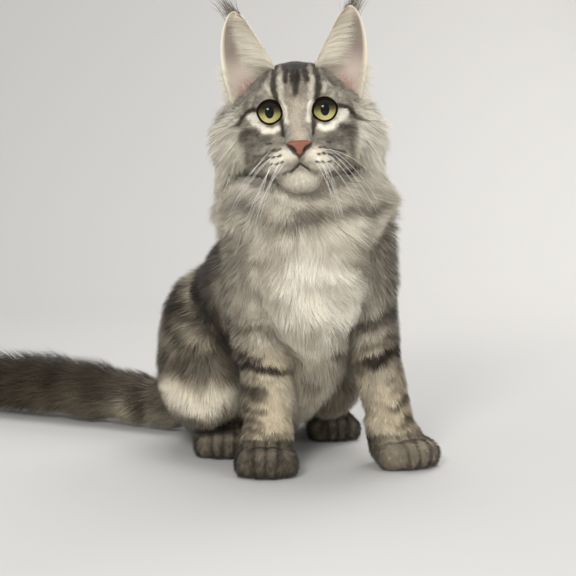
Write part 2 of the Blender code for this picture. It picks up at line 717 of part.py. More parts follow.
def ear_place(side, along, across, hollow=1.0):
    """A place on the sheet of an ear, by its share from base to tip and from inner to outer edge."""
    up = max(0.0, along)
    middle = EAR_BASE.lerp(EAR_TIP, along) + Vector((EAR_BULGE, 0.0, 0.0)) * math.sin(math.pi * up)
    half = EAR_BASE_HALF.lerp(EAR_TIP_HALF, along) * (1.0 - up**EAR_TIP_ROUNDNESS) ** EAR_EDGE_ROUNDNESS
    back = Vector((-math.sin(EAR_FACING), math.cos(EAR_FACING), 0.0))
    cup = (4 * across * (1 - across)) ** EAR_CUP_ROUNDNESS
    depth = hollow * EAR_CUP_DEPTH * (1.0 - EAR_CUP_FADE * up) * cup
    place = middle + half * (2 * across - 1) + back * depth
    place.x *= side
    return HEAD_FRAME @ place


def ear_shell(name, side):
    """A tall ear with a round tip and its cup open to the front, as a sheet of even thickness."""
    bm = bmesh.new()
    grid = []
    for row in range(EAR_ROWS + 1):
        along = EAR_SUNK + (EAR_TOP - EAR_SUNK) * row / EAR_ROWS
        places = [ear_place(side, along, column / EAR_COLUMNS) for column in range(EAR_COLUMNS + 1)]
        grid.append([bm.verts.new(place) for place in places])
    for low, high in zip(grid, grid[1:]):
        for column in range(EAR_COLUMNS):
            corners = (low[column], low[column + 1], high[column + 1], high[column])
            bm.faces.new(corners if side > 0 else corners[::-1])
    shell = new_object(name, bm)
    solid = shell.modifiers.new("thickness", "SOLIDIFY")
    solid.thickness = EAR_THICKNESS
    solid.offset = 0.0
    return bake_modifiers(shell)


def build_head():
    """The head with its sockets, lids, mouth and nostrils, and the pieces that sit in it."""
    head = head_skin()
    pieces = {}
    lids = [sphere("lid", EYE_RADIUS + GAP + LID_THICKNESS, eye_frame(side)) for side in (-1, 1)]
    boolean(head, lids, "UNION", "MANIFOLD")
    cutters = [groove(head, mouth_route(side), MOUTH_GROOVE) for side in (-1, 1)]
    cutters.append(groove(head, [(0.0, z) for z in LIP_LINE], MOUTH_GROOVE * 0.7))
    for cutter in cutters:
        boolean(head, [cutter], "DIFFERENCE", "MANIFOLD")
    for side, label in ((-1, "right"), (1, "left")):
        pieces["eye_" + label] = eyeball("eye_" + label, side)
        boolean(head, [lid_opening(side)], "DIFFERENCE", "MANIFOLD")
        cut_clear(head, pieces["eye_" + label], 1.3 * GAP)
        pieces["ear_" + label] = ear_shell("ear_" + label, side)
    nose = nose_leather()
    for side in (-1, 1):
        boolean(nose, [nostril(side)], "DIFFERENCE", "MANIFOLD")
        boolean(head, [nostril(side)], "DIFFERENCE", "MANIFOLD")
    cut_clear(head, nose, GAP)
    keep_largest(head)
    for label in ("right", "left"):
        cut_clear(pieces["ear_" + label], head, 1.5 * GAP)
    pieces["nose"] = nose
    pieces["head"] = head
    return pieces


# ---------------------------------------------------------------- locks of the long coat

COATED = SPINE + BIB + UNDERSIDE + HAUNCH_RIGHT + HAUNCH_LEFT + FORELEG_RIGHT + FORELEG_LEFT + TAIL


def nearness(ball, place):
    """A weight that falls off with the distance from a ball, counted in its own sizes."""
    turn = Matrix.Rotation(-math.radians(ball.yaw), 3, "Z")
    local = turn @ (place - Vector(ball.centre))
    reach = math.sqrt(sum((local[axis] / (ball.radii[axis] + ball.coat)) ** 2 for axis in range(3)))
    return math.exp(-COAT_BLEND * reach)


def coat_at(place):
    """The depth of the coat at a place, and the way it lies there."""
    away = (place - THROAT).normalized()
    depth = 0.0
    total = 0.0
    lie = Vector()
    for ball in COATED:
        weight = nearness(ball, place)
        total += weight
        depth += weight * ball.coat
        lie += weight * (Vector(ball.lie) + ball.spread * away)
    return depth / total, lie.normalized()


class Lock(NamedTuple):
    """The sizes of one lock.

    It has a length, a width and a thickness, the height of its tip over the core, a bend to a side,
    how deep its root is sunk, and how low it may hang over the floor.
    """

    length: float
    width: float
    thickness: float
    lift: float
    bend: float = 0.0
    root: float = LOCK_ROOT
    floor: float = FLOOR_CLEARANCE


def lock_path(start, lie, lock, tree, stations):
    """The stations of a lock from its sunk root to its tip, each with the way its flat side faces."""
    near, normal, _, _ = tree.find_nearest(start)
    heading = (lie - normal * lie.dot(normal)).normalized()
    place = near - normal * lock.root
    path = [(place, normal)]
    height = -lock.root
    for station in range(1, stations + 1):
        t = station / stations
        target = -lock.root + (lock.lift + lock.root) * (1 - (1 - t) ** 2)
        heading = Matrix.Rotation(lock.bend / stations, 3, normal) @ heading
        ahead = place + (heading * lock.length / stations) + normal * (target - height)
        near, found, _, _ = tree.find_nearest(ahead)
        outward = ahead - near
        highest = max(target, 0.0) * HIGHEST_LOCK
        if outward.dot(found) < target * LOWEST_LOCK:
            ahead = near + found * target * LOWEST_LOCK
        elif outward.length > highest:
            ahead = near + outward.normalized() * highest
        normal = (normal + found * SURFACE_PULL).normalized()
        height = target
        keep, pull, follow = HEADING_MIX
        heading = heading * keep + lie * pull + (ahead - place).normalized() * follow
        heading = (heading - normal * heading.dot(normal)).normalized()
        place = ahead
        path.append((place, normal))
    return path


def lock_mesh(path, lock, extra=0.0):
    """A flat, tapered closed mesh along a path: ridged three-sided sections that run out to a point."""
    bm = bmesh.new()
    rings = []
    for index, (place, normal) in enumerate(path[:-1]):
        t = index / (len(path) - 1)
        along = (path[index + 1][0] - place).normalized()
        across = normal.cross(along).normalized()
        out = along.cross(across)
        share = LOCK_ROOT_WIDTH if index == 0 else 1 - t**LOCK_TAPER
        half_width = extra + lock.width / 2 * share
        half_thick = extra + lock.thickness / 2 * (1 - (1 - LOCK_TIP_THICKNESS) * t)
        offsets = (across * half_width, out * half_thick, -across * half_width)
        ring = [place + offset - out * half_thick * 0.4 for offset in offsets]
        for corner in ring:
            corner.z = max(corner.z, lock.floor)
        ring[1].z = max(ring[1].z, lock.floor + half_thick)
        rings.append([bm.verts.new(corner) for corner in ring])
    tip = path[-1][0].copy()
    tip.z = max(tip.z, lock.floor + LOCK_CLEARANCE)
    tip = bm.verts.new(tip)
    for low, high in zip(rings, rings[1:]):
        for side in range(3):
            follow = (side + 1) % 3
            bm.faces.new((low[side], low[follow], high[follow]))
            bm.faces.new((low[side], high[follow], high[side]))
    for side in range(3):
        bm.faces.new((rings[-1][side], rings[-1][(side + 1) % 3], tip))
    bm.faces.new(rings[0][::-1])
    bmesh.ops.triangulate(bm, faces=bm.faces)
    return bm


def crosses_itself(bm):
    """Tells whether two faces of a mesh that share no corner meet."""
    bm.faces.ensure_lookup_table()
    tree = BVHTree.FromBMesh(bm)
    for first, second in tree.overlap(tree):
        if not set(bm.faces[first].verts) & set(bm.faces[second].verts):
            return True
    return False


class Coat:
    """Grows the locks of every piece, each clear of all the other pieces and of their locks."""

    def __init__(self, pieces, body_tree, lie_tree):
        """Takes the pieces, the body's surface before it was parted, and that surface with the head's."""
        self.body_tree = body_tree
        self.lie_tree = lie_tree
        self.cores = {name: tree_of(item) for name, item in pieces.items()}
        self.grown = {name: [] for name in pieces}
        self.locks = {name: [] for name in pieces}
        self.random = random.Random(LOCK_SEED)

    def is_clear(self, name, path, lock):
        """Tells whether a lock keeps its distance from every piece but its own, and has no fold."""
        bm = lock_mesh(path, lock, LOCK_CLEARANCE)
        tree = BVHTree.FromBMesh(bm)
        folded = crosses_itself(bm)
        bm.free()
        if folded:
            return False
        for other, core in self.cores.items():
            if other == name:
                continue
            if tree.overlap(core) or any(tree.overlap(done) for done in self.grown[other]):
                return False
        return True

    def try_lock(self, name, start, lie, lock, stations=4):
        """Grows a lock if it can be kept clear, bent or shortened where it has to be."""
        for shorter, higher, turn, back in LOCK_TRIES:
            bent = lock._replace(
                length=lock.length * shorter, lift=lock.lift * higher, bend=lock.bend + turn
            )
            path = lock_path(start - lie * back, lie, bent, self.lie_tree, stations)
            if self.is_clear(name, path, bent):
                self.add(name, path, bent)
                return True
        return False

    def add(self, name, path, lock):
        """Makes the lock and keeps it with those of its piece."""
        bm = lock_mesh(path, lock)
        self.grown[name].append(BVHTree.FromBMesh(bm))
        self.locks[name].append(new_object("lock", bm))

    def straight_lock(self, name, start, lie, lock):
        """Grows a thin lock that stands free, with its flat side to the front."""
        front = Vector((0, -1, 0))
        steps = [start + lie * lock.length * t / 3 for t in range(4)]
        path = [(step, front) for step in steps]
        if self.is_clear(name, path, lock):
            self.add(name, path, lock)

    def roots(self, item, count):
        """Random places spread evenly over the outside of a piece, as the body had it before parting."""
        faces = list(item.data.polygons)
        areas = [face.area for face in faces]
        verts = item.data.vertices
        found = []
        for face in self.random.choices(faces, areas, k=count):
            corners = [verts[index].co for index in face.vertices]
            u = math.sqrt(self.random.random())
            v = self.random.random()
            place = corners[0] * (1 - u) + corners[1] * u * (1 - v) + corners[2] * u * v
            _, normal, _, distance = self.body_tree.find_nearest(place)
            inside = distance > SEAM_DEPTH or normal.dot(face.normal) < 0.7
            if not inside and normal.z > -0.6 and place.z > LOWEST_ROOT:
                found.append(place)
        return found

    def grow_long_coat(self, name, item):
        """Covers one piece with locks, as far apart as the depth of the coat asks."""
        taken = []
        for place in self.roots(item, ROOT_TRIES):
            depth, lie = coat_at(place)
            if depth < LONG_COAT or self.near_head(place):
                continue
            spacing = LOCK_SPACING[0] + LOCK_SPACING[1] * depth
            if any((place - other).length < spacing for other in taken):
                continue
            change = self.random.uniform(*LOCK_VARIATION)
            lock = Lock(
                length=(LOCK_LENGTH[0] + LOCK_LENGTH[1] * depth) * change,
                width=LOCK_WIDTH[0] + LOCK_WIDTH[1] * depth,
                thickness=LOCK_THICKNESS[0] + LOCK_THICKNESS[1] * depth,
                lift=depth * (FULL_COAT - CORE_SHARE) * self.random.uniform(*LOCK_LIFTS),
                bend=self.random.uniform(-LOCK_BEND, LOCK_BEND),
                floor=FLOOR_CLEARANCE + self.random.uniform(0.0, FLOOR_SPREAD),
            )
            if self.try_lock(name, place, lie, lock, stations=4 if depth > LONGEST_COAT else 3):
                taken.append(place)

    def near_head(self, place):
        """Tells whether a place is in the seat that the head fills, or hard by it."""
        return self.cores["head"].find_nearest(place)[3] < HEAD_MARGIN

    def fuse(self, pieces):
        """Joins every piece with its own locks into one closed body."""
        for name, locks in self.locks.items():
            if locks:
                boolean(pieces[name], locks, "UNION", "MANIFOLD")
                keep_largest(pieces[name])


def tree_of(*items):
    """The surface of one or more objects, for finding what is near it."""
    bm = bmesh.new()
    for item in items:
        bm.from_mesh(item.data)
    tree = BVHTree.FromBMesh(bm)
    bm.free()
    return tree


def on_side(side, direction):
    """A direction given for the left half of the head, turned to the half on that side."""
    x, y, z = direction
    return Vector((side * x, y, z)).normalized()


def grow_head_locks(coat):
    """The long hair behind the cheeks and on the nape, and the hair in the ears and on their tips."""
    for side, label in ((-1, "right"), (1, "left")):
        turn = HEAD_FRAME.to_3x3()
        for x, y, z, length, width, lift in HEAD_LOCKS:
            start = HEAD_FRAME @ Vector((side * x, y, z))
            lie = turn @ on_side(side, HEAD_LOCK_LIE)
            coat.try_lock("head", start, lie, Lock(length, width, 0.0030, lift))
        ear = "ear_" + label
        for lean, length in EAR_TUFTS:
            start = ear_place(side, EAR_TOP - 0.02, 0.5, 0.9)
            lie = turn @ on_side(side, (lean, 0.10, 1.0))
            coat.straight_lock(ear, start - lie * 0.006, lie, Lock(length, 0.0080, 0.0028, 0.0))
        for along, across, length in EAR_HAIRS:
            start = ear_place(side, along, across, 0.9)
            lie = turn @ on_side(side, EAR_HAIR_LIE)
            coat.straight_lock(ear, start - lie * 0.003, lie, Lock(length, 0.0080, 0.0018, 0.0))


def grow_coat(pieces, body):
    """Grows all the locks and joins them to their pieces."""
    coat = Coat(pieces, tree_of(body), tree_of(body, pieces["head"]))
    bpy.data.objects.remove(body)
    grow_head_locks(coat)
    for name in LONG_COATED:
        coat.grow_long_coat(name, pieces[name])
    coat.fuse(pieces)


def stand_on_origin(nodes):
    """Moves the whole cat so that the middle of its bounding box stands on the origin."""
    corners = [vert.co for node in nodes for vert in node.data.vertices]
    low = Vector([min(c[axis] for c in corners) for axis in range(3)])
    high = Vector([max(c[axis] for c in corners) for axis in range(3)])
    middle = (low + high) / 2
    shift = Matrix.Translation((-middle.x, -middle.y, -low.z))
    for node in nodes:
        node.data.transform(shift)


def main():
    """Builds the cat."""
    pieces = build_head()
    body = body_skin()
    for name in ("head", "ear_left", "ear_right"):
        cut_clear(body, pieces[name], 1.3 * GAP)
    keep_largest(body)
    pieces.update(part_body(copy_of(body, "parted")))
    for name, paw in PAWS.items():
        pieces[name] = paw_skin(name, paw)
    for name in ("forepaw_right", "forepaw_left"):
        boolean(pieces[name], [slab((0, 0, WRIST_HEIGHT), (0, 0, 1), -GAP)], "DIFFERENCE")
    for paw, others in (
        ("hindpaw_right", ("haunch_right", "rump", "foreleg_right")),
        ("hindpaw_left", ("haunch_left", "rump")),
    ):
        for other in others:
            cut_clear(pieces[paw], pieces[other], 1.5 * GAP)
        keep_largest(pieces[paw])
    grow_coat(pieces, body)
    colours = {
        "neck": PALE_FUR, "eye": IRIS, "nose": NOSE_SKIN, "ear": EAR_SKIN, "tail": BROWN_FUR,
        "forepaw": PAW_FUR, "hindpaw": PAW_FUR, "foreleg": PALE_FUR,
    }
    for name, item in pieces.items():
        finish_node(item, name, colours.get(name.split("_")[0], GREY_FUR))
    stand_on_origin(list(CAT.objects))
    bpy.data.collections.remove(CUTTERS)


main()
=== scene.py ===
"""Dresses the sitting Maine Coon cat in one skin and a coat of fine tufts.

Its eyes, lids, nose, ears and whiskers are pieces of their own.

Places are worked out in the cat's own frame, in metres: the cat looks along -Y, its left side is towards
+X and the floor is at Z = 0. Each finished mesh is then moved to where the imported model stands.
"""

import itertools
import logging
import math
from dataclasses import dataclass, replace
from enum import Enum

import bmesh
import bpy
import numpy as np
from bmesh.types import BMesh
from bpy.types import Material, Mesh, Node, NodeSocket, Object
from mathutils import Matrix, Vector
from mathutils.bvhtree import BVHTree
from mathutils.kdtree import KDTree
from numpy.random import Generator, default_rng


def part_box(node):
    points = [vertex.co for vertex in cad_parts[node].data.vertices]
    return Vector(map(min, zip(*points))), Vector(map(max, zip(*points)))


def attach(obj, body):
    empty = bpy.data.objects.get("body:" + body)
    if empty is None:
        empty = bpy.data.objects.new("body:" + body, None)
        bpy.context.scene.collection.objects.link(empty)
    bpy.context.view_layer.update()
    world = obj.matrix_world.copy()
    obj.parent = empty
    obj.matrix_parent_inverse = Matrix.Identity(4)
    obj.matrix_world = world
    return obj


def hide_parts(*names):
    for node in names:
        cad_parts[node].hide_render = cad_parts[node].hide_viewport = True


logging.basicConfig(level=logging.INFO, format="%(message)s")
LOG = logging.getLogger("cat")

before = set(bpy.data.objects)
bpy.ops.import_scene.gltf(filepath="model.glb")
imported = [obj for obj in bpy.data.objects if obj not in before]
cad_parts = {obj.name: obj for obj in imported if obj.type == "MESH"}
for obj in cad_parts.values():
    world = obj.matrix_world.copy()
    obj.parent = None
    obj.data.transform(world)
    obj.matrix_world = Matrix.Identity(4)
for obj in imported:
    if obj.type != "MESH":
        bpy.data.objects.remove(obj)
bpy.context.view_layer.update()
BODY = "root"
Array = np.ndarray

# ---------------------------------------------------------------- driving sizes

HEAD_CENTRE = Vector((-0.0104, 0.002, 0.2915))
HEAD_ROLL = math.radians(-3)
HEAD_FRAME = Matrix.Translation(HEAD_CENTRE) @ Matrix.Rotation(HEAD_ROLL, 4, "Y")
EYE_RADIUS = 0.0130
EYE_SPACING = 0.0432
EYE_SETBACK = 0.0042
LID_TILT = math.radians(15)
LID_OPENING = (0.0090, 0.0090)
FLOOR_CLEARANCE = 0.0006
THROAT = np.array((-0.006, -0.004, 0.240))
COAT_BLEND = 5.0


class Part(Enum):
    """The parts of the body that a piece of coat can cover."""

    FACE = "face"
    CROWN = "crown"
    RUFF = "ruff"
    NAPE = "nape"
    BIB = "bib"
    FLANK = "flank"
    RUMP = "rump"
    HAUNCH_RIGHT = "haunch_right"
    HAUNCH_LEFT = "haunch_left"
    FORELEG_RIGHT = "foreleg_right"
    FORELEG_LEFT = "foreleg_left"
    PAWS = "paws"
    TAIL = "tail"


class Side(Enum):
    """The two sides of the cat, as seen by the cat."""

    RIGHT = -1
    LEFT = 1


@dataclass(frozen=True)
class Ball:
    """One rounded volume of flesh and the coat over it.

    It has a centre and half sizes, the depth of its coat, its turn about +Z in degrees, the way its
    coat lies, how much the coat spreads from the throat, and the shade and warmth of its colour.
    """

    centre: tuple
    radii: tuple
    coat: float = 0.0
    yaw: float = 0.0
    lie: tuple = (0.0, 0.0, -1.0)
    spread: float = 0.0
    shade: float = 0.5
    warmth: float = 0.3

    def mirrored(self) -> "Ball":
        """The same ball on the other side of the plane X = 0."""
        x, y, z = self.centre
        return replace(self, centre=(-x, y, z), yaw=-self.yaw)


def limb(lie: tuple, *rows: tuple) -> tuple:
    """The balls of a limb whose coat lies one way.

    Args:
        lie: the way its coat lies.
        rows: the centre, radii, coat, yaw, shade and warmth of each ball.

    Returns:
        The balls.
    """
    return tuple(Ball(*row[:4], lie, 0, *row[4:]) for row in rows)


@dataclass(frozen=True)
class Foot:
    """A foot: the middle of its toes, its heading, half width, height, reach back, and its ankle."""

    toes: tuple
    heading: float
    half_width: float
    height: float
    back: float
    ankle: tuple

    @property
    def toe_step(self) -> float:
        """How far the middles of neighbouring toes are apart."""
        return self.half_width * 0.36


# Trunk and neck, from the rump up.
PELVIS = Ball((-0.060, 0.150, 0.052), (0.052, 0.054, 0.056), 0.014, 28, (-0.30, 0.45, -0.75), 0, 0.30, 0.5)
LOIN = Ball((-0.048, 0.120, 0.098), (0.050, 0.052, 0.052), 0.016, 28, (-0.25, 0.45, -0.80), 0, 0.30, 0.5)
RIBS = Ball((-0.029, 0.086, 0.143), (0.050, 0.051, 0.050), 0.017, 25, (-0.15, 0.40, -0.85), 0, 0.36, 0.4)
CHEST = Ball((-0.004, 0.048, 0.172), (0.046, 0.043, 0.045), 0.026, 14, (0.0, 0.20, -0.90), 0.35, 0.66)
SHOULDERS = Ball((-0.004, 0.046, 0.208), (0.053, 0.038, 0.036), 0.035, 8, (0.0, 0.08, -0.75), 0.50, 0.73)
NECK_LOW = Ball((-0.006, 0.050, 0.232), (0.052, 0.031, 0.028), 0.036, 4, (0.0, 0.02, -0.60), 0.75, 0.74)
NECK_TOP = Ball((-0.008, 0.053, 0.254), (0.056, 0.030, 0.024), 0.032, 0, (0.0, 0.02, -0.60), 0.80, 0.76)
NECK_BACK = Ball((-0.009, 0.056, 0.272), (0.053, 0.029, 0.022), 0.028, 0, (0.0, 0.05, -0.60), 0.75, 0.78)
BIB_TOP = Ball((-0.005, 0.014, 0.196), (0.032, 0.014, 0.022), 0.032, 4, (0.0, -0.05, -0.80), 0.50, 0.78)
BIB_LOW = Ball((0.003, 0.018, 0.152), (0.024, 0.014, 0.030), 0.024, 8, (0.0, 0.0, -1.0), 0.15, 0.94, 0.2)
BELLY = Ball((-0.014, 0.092, 0.084), (0.034, 0.044, 0.034), 0.018, 20, (-0.10, 0.20, -0.90), 0, 0.72)
SPINE_HEIGHTS = (0.052, 0.098, 0.143, 0.172, 0.208, 0.268)
SPINE_X = (-0.060, -0.048, -0.029, -0.004, -0.004, -0.009)
SPINE_Y = (0.150, 0.120, 0.086, 0.048, 0.046, 0.056)
SPINE_YAW = (28.0, 28.0, 25.0, 14.0, 8.0, 0.0)
SPINE = (NECK_BACK, NECK_TOP, NECK_LOW, SHOULDERS, CHEST, RIBS, LOIN, PELVIS)
BIB = (SHOULDERS, BIB_TOP, BIB_LOW, CHEST)
UNDERSIDE = (BIB_LOW, BELLY, PELVIS)

# Limbs, each from the body down to the floor.
THIGH_LIE = (-0.20, 0.40, -0.75)
LEG_LIE = (0.0, -0.12, -1.0)
FORELEG_RIGHT = limb(
    LEG_LIE,
    ((-0.037, 0.044, 0.184), (0.024, 0.030, 0.030), 0.010, 0, 0.50, 0.3),
    ((-0.040, 0.050, 0.130), (0.021, 0.025, 0.024), 0.007, 0, 0.52, 0.3),
    ((-0.036, 0.036, 0.085), (0.0175, 0.019, 0.020), 0.005, 0, 0.60, 0.60),
    ((-0.034, 0.026, 0.036), (0.0165, 0.017, 0.020), 0.004, 0, 0.62, 0.7),
)
FORELEG_LEFT = limb(
    LEG_LIE,
    ((0.040, 0.056, 0.184), (0.024, 0.030, 0.030), 0.010, 0, 0.46, 0.3),
    ((0.048, 0.066, 0.130), (0.021, 0.025, 0.024), 0.007, 0, 0.48, 0.3),
    ((0.056, 0.058, 0.085), (0.0175, 0.019, 0.020), 0.005, 0, 0.60, 0.60),
    ((0.068, 0.056, 0.036), (0.0165, 0.017, 0.020), 0.004, 0, 0.66, 0.7),
)
HAUNCH_RIGHT = limb(
    THIGH_LIE,
    ((-0.087, 0.123, 0.097), (0.032, 0.040, 0.052), 0.014, 25, 0.24, 0.5),
    ((-0.092, 0.092, 0.074), (0.028, 0.040, 0.044), 0.013, 15, 0.26, 0.5),
    ((-0.086, 0.074, 0.066), (0.022, 0.026, 0.034), 0.012, 10, 0.30, 0.4),
    ((-0.090, 0.120, 0.050), (0.026, 0.048, 0.028), 0.012, 4, 0.42, 0.5),
)
HAUNCH_LEFT = limb(
    THIGH_LIE,
    ((-0.006, 0.172, 0.084), (0.032, 0.040, 0.046), 0.013, 25, 0.34, 0.5),
    ((0.010, 0.142, 0.074), (0.028, 0.040, 0.044), 0.012, 20, 0.36, 0.5),
    ((0.020, 0.122, 0.066), (0.022, 0.026, 0.034), 0.011, 15, 0.46, 0.4),
    ((0.006, 0.172, 0.050), (0.026, 0.046, 0.028), 0.011, 20, 0.44, 0.5),
)
TAIL_LIE = (-0.87, 0.42, -0.14)
TAIL = (
    Ball((-0.076, 0.176, 0.040), (0.026, 0.026, 0.026), 0.012, 0, (-0.60, 0.30, -0.60), 0, 0.26, 0.5),
    *limb(
        TAIL_LIE,
        ((-0.110, 0.188, 0.027), (0.013, 0.013, 0.014), 0.012, 0, 0.24, 0.5),
        ((-0.148, 0.208, 0.026), (0.011, 0.011, 0.012), 0.014, 0, 0.20, 0.6),
        ((-0.190, 0.235, 0.029), (0.010, 0.010, 0.011), 0.020, 0, 0.15, 0.8),
        ((-0.235, 0.261, 0.031), (0.009, 0.009, 0.010), 0.023, 0, 0.13, 0.85),
        ((-0.290, 0.286, 0.031), (0.008, 0.008, 0.008), 0.024, 0, 0.12, 0.85),
        ((-0.348, 0.306, 0.029), (0.006, 0.006, 0.006), 0.022, 0, 0.10, 0.8),
        ((-0.380, 0.315, 0.023), (0.004, 0.004, 0.004), 0.013, 0, 0.10, 0.8),
    ),
)

# The head, in its own frame: the origin midway between the eyes, +Y to the back of the skull.
HEAD_MIDDLE = (
    Ball((0.0, 0.050, -0.014), (0.036, 0.030, 0.034), 0.006),
    Ball((0.0, 0.034, 0.004), (0.037, 0.040, 0.032), 0.004),
    Ball((0.0, 0.012, 0.010), (0.028, 0.020, 0.021), 0.003),
    Ball((0.0, 0.003, -0.003), (0.0120, 0.0145, 0.012), 0.002),
    Ball((0.0, -0.0275, -0.0245), (0.0085, 0.0105, 0.0080), 0.0015),
)
HEAD_CHIN = (
    Ball((0.0, 0.050, -0.014), (0.036, 0.030, 0.034), 0.006),
    Ball((0.0, 0.006, -0.047), (0.017, 0.017, 0.010), 0.003),
    Ball((0.0, -0.0175, -0.0525), (0.0142, 0.011, 0.0085), 0.003),
)
HEAD_CHEEK = (
    Ball((0.020, 0.034, 0.000), (0.022, 0.026, 0.026), 0.004),
    Ball((0.029, 0.028, -0.020), (0.021, 0.024, 0.022), 0.009),
    Ball((0.015, -0.004, -0.034), (0.015, 0.017, 0.014), 0.003),
    Ball((0.0118, -0.0215, -0.0385), (0.0128, 0.0135, 0.0110), 0.002),
)
HEAD_JAW = (
    Ball((0.025, 0.030, -0.032), (0.016, 0.020, 0.015), 0.009),
    Ball((0.000, 0.000, -0.048), (0.016, 0.015, 0.010), 0.003),
)
HEAD_EYE_RIM = (
    Ball((0.0195, 0.0065, 0.0125), (0.0125, 0.0110, 0.0065), 0.002),
    Ball((0.0310, 0.0170, 0.0020), (0.0115, 0.0125, 0.0100), 0.003),
    Ball((0.0225, 0.0060, -0.0150), (0.0135, 0.0135, 0.0080), 0.002),
    Ball((0.0080, -0.0010, -0.0120), (0.0075, 0.0110, 0.0090), 0.002),
)
FEET = {
    "forepaw_right": Foot((-0.035, -0.002), -2, 0.0262, 0.0300, 0.026, (0.000, 0.028, 0.036)),
    "forepaw_left": Foot((0.083, 0.033), 28, 0.0285, 0.0290, 0.026, (-0.005, 0.028, 0.036)),
    "hindpaw_right": Foot((-0.072, 0.075), 0, 0.0250, 0.0260, 0.086, (-0.006, 0.090, 0.020)),
    "hindpaw_left": Foot((0.024, 0.147), 10, 0.0240, 0.0255, 0.060, (0.000, 0.066, 0.020)),
}


# ---------------------------------------------------------------- small tools


def unit(vectors: Array) -> Array:
    """Scales vectors to length one, row by row."""
    return vectors / np.maximum(np.linalg.norm(vectors, axis=-1, keepdims=True), 1e-12)


def dot(first: Array, second: Array) -> Array:
    """The dot product of each pair of rows, kept as a column."""
    return np.sum(first * second, axis=-1, keepdims=True)


def smooth_step(low: float, high: float, value: Array) -> Array:
    """Runs smoothly from 0 at low to 1 at high.

    Args:
        low: where the step starts.
        high: where it ends.
        value: the values to read it at.

    Returns:
        One share for each value.
    """
    share = np.clip((np.asarray(value) - low) / (high - low), 0.0, 1.0)
    return share * share * (3.0 - 2.0 * share)


def transformed(matrix: Matrix, points: Array) -> Array:
    """Moves points by a matrix."""
    grid = np.array(matrix)
    return points @ grid[:3, :3].T + grid[:3, 3]


def turned(matrix: Matrix, directions: Array) -> Array:
    """Turns directions by the rotation of a matrix."""
    return directions @ np.array(matrix)[:3, :3].T


def stacked(count: int, *values: Array | float) -> Array:
    """Rows whose columns are the values, each one number or one for every row."""
    return np.stack([np.broadcast_to(value, count) for value in values], axis=1)


def segment_distance(points: Array, start: Array, end: Array) -> Array:
    """How far points are from a straight segment, in as many dimensions as they have."""
    run = end - start
    share = np.clip(((points - start) @ run) / max(float(run @ run), 1e-12), 0.0, 1.0)
    return np.linalg.norm(points - start - share[:, None] * run, axis=1)


def path_distance(points: Array, path: Array) -> Array:
    """How far points are from a path of straight segments."""
    return np.min([segment_distance(points, a, b) for a, b in zip(path, path[1:])], axis=0)


def linked(name: str, data: bpy.types.ID) -> Object:
    """An object of a mesh, a light or a camera, in the scene."""
    item = bpy.data.objects.new(name, data)
    bpy.context.scene.collection.objects.link(item)
    return item


def mesh_of(name: str, bm: BMesh) -> Mesh:
    """A mesh of what a bmesh holds, which is then freed."""
    mesh = bpy.data.meshes.new(name)
    bm.to_mesh(mesh)
    bm.free()
    return mesh


def ball_points(placing: Matrix, segments: int, rings: int) -> list[Vector]:
    """Points spread over a ball of radius one, then placed."""
    bm = bmesh.new()
    bmesh.ops.create_uvsphere(bm, u_segments=segments, v_segments=rings, radius=1.0, matrix=placing)
    points = [vert.co.copy() for vert in bm.verts]
    bm.free()
    return points


def hull_of(points: list[Vector]) -> BMesh:
    """The convex hull of points."""
    bm = bmesh.new()
    for point in points:
        bm.verts.new(point)
    found = bmesh.ops.convex_hull(bm, input=bm.verts)
    inner = [item for item in found["geom_interior"] if isinstance(item, bmesh.types.BMVert)]
    bmesh.ops.delete(bm, geom=inner, context="VERTS")
    return bm


def fused(name: str, bm: BMesh, voxel: float, smoothing: int) -> Object:
    """Makes one closed surface round solids that overlap.

    Args:
        name: the object's name.
        bm: the solids, which are freed.
        voxel: the size of its faces.
        smoothing: how many times it is softened.

    Returns:
        The object.
    """
    item = linked(name, mesh_of(name, bm))
    fuse = item.modifiers.new("fuse", "REMESH")
    fuse.mode = "VOXEL"
    fuse.voxel_size = voxel
    item.modifiers.new("soften", "SMOOTH").iterations = smoothing
    graph = bpy.context.evaluated_depsgraph_get()
    item.data = bpy.data.meshes.new_from_object(item.evaluated_get(graph))
    item.modifiers.clear()
    return item


def mesh_points(mesh: Mesh) -> Array:
    """The points of a mesh, one a row."""
    points = np.empty(len(mesh.vertices) * 3)
    mesh.vertices.foreach_get("co", points)
    return points.reshape(-1, 3)


def eye_frame(side: Side) -> Matrix:
    """Where one eye sits: +Z is the way it looks, and +X runs along its lids."""
    look = Vector((0.0, -1.0, 0.02)).normalized()
    across = Vector((0, 0, 1)).cross(look).normalized()
    turn = Matrix((across, look.cross(across), look)).transposed().to_4x4()
    centre = Matrix.Translation((side.value * EYE_SPACING / 2, EYE_SETBACK, 0.0))
    return HEAD_FRAME @ centre @ turn @ Matrix.Rotation(side.value * LID_TILT, 4, "Z")


class Stand:
    """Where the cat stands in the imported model."""

    def __init__(self) -> None:
        """Finds the step from the cat's own frame from where its packed eyes are."""
        boxes = [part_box("eye_left"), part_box("eye_right")]
        middle = sum((low.x + high.x) / 2 for low, high in boxes) / 2
        back = sum(high.y for _, high in boxes) / 2
        centre = back - EYE_RADIUS
        self.step = Vector((middle - HEAD_CENTRE.x, centre - HEAD_CENTRE.y - EYE_SETBACK, 0.0))

    def place(self, item: Object, slot: str, *nodes: str) -> None:
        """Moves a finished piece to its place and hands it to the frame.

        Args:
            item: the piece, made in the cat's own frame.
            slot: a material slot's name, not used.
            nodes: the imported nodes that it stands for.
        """
        item.data.transform(Matrix.Translation(self.step))
        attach(item, BODY)
        if nodes:
            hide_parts(*nodes)
        LOG.info("%s: %d faces", item.name, len(item.data.polygons))


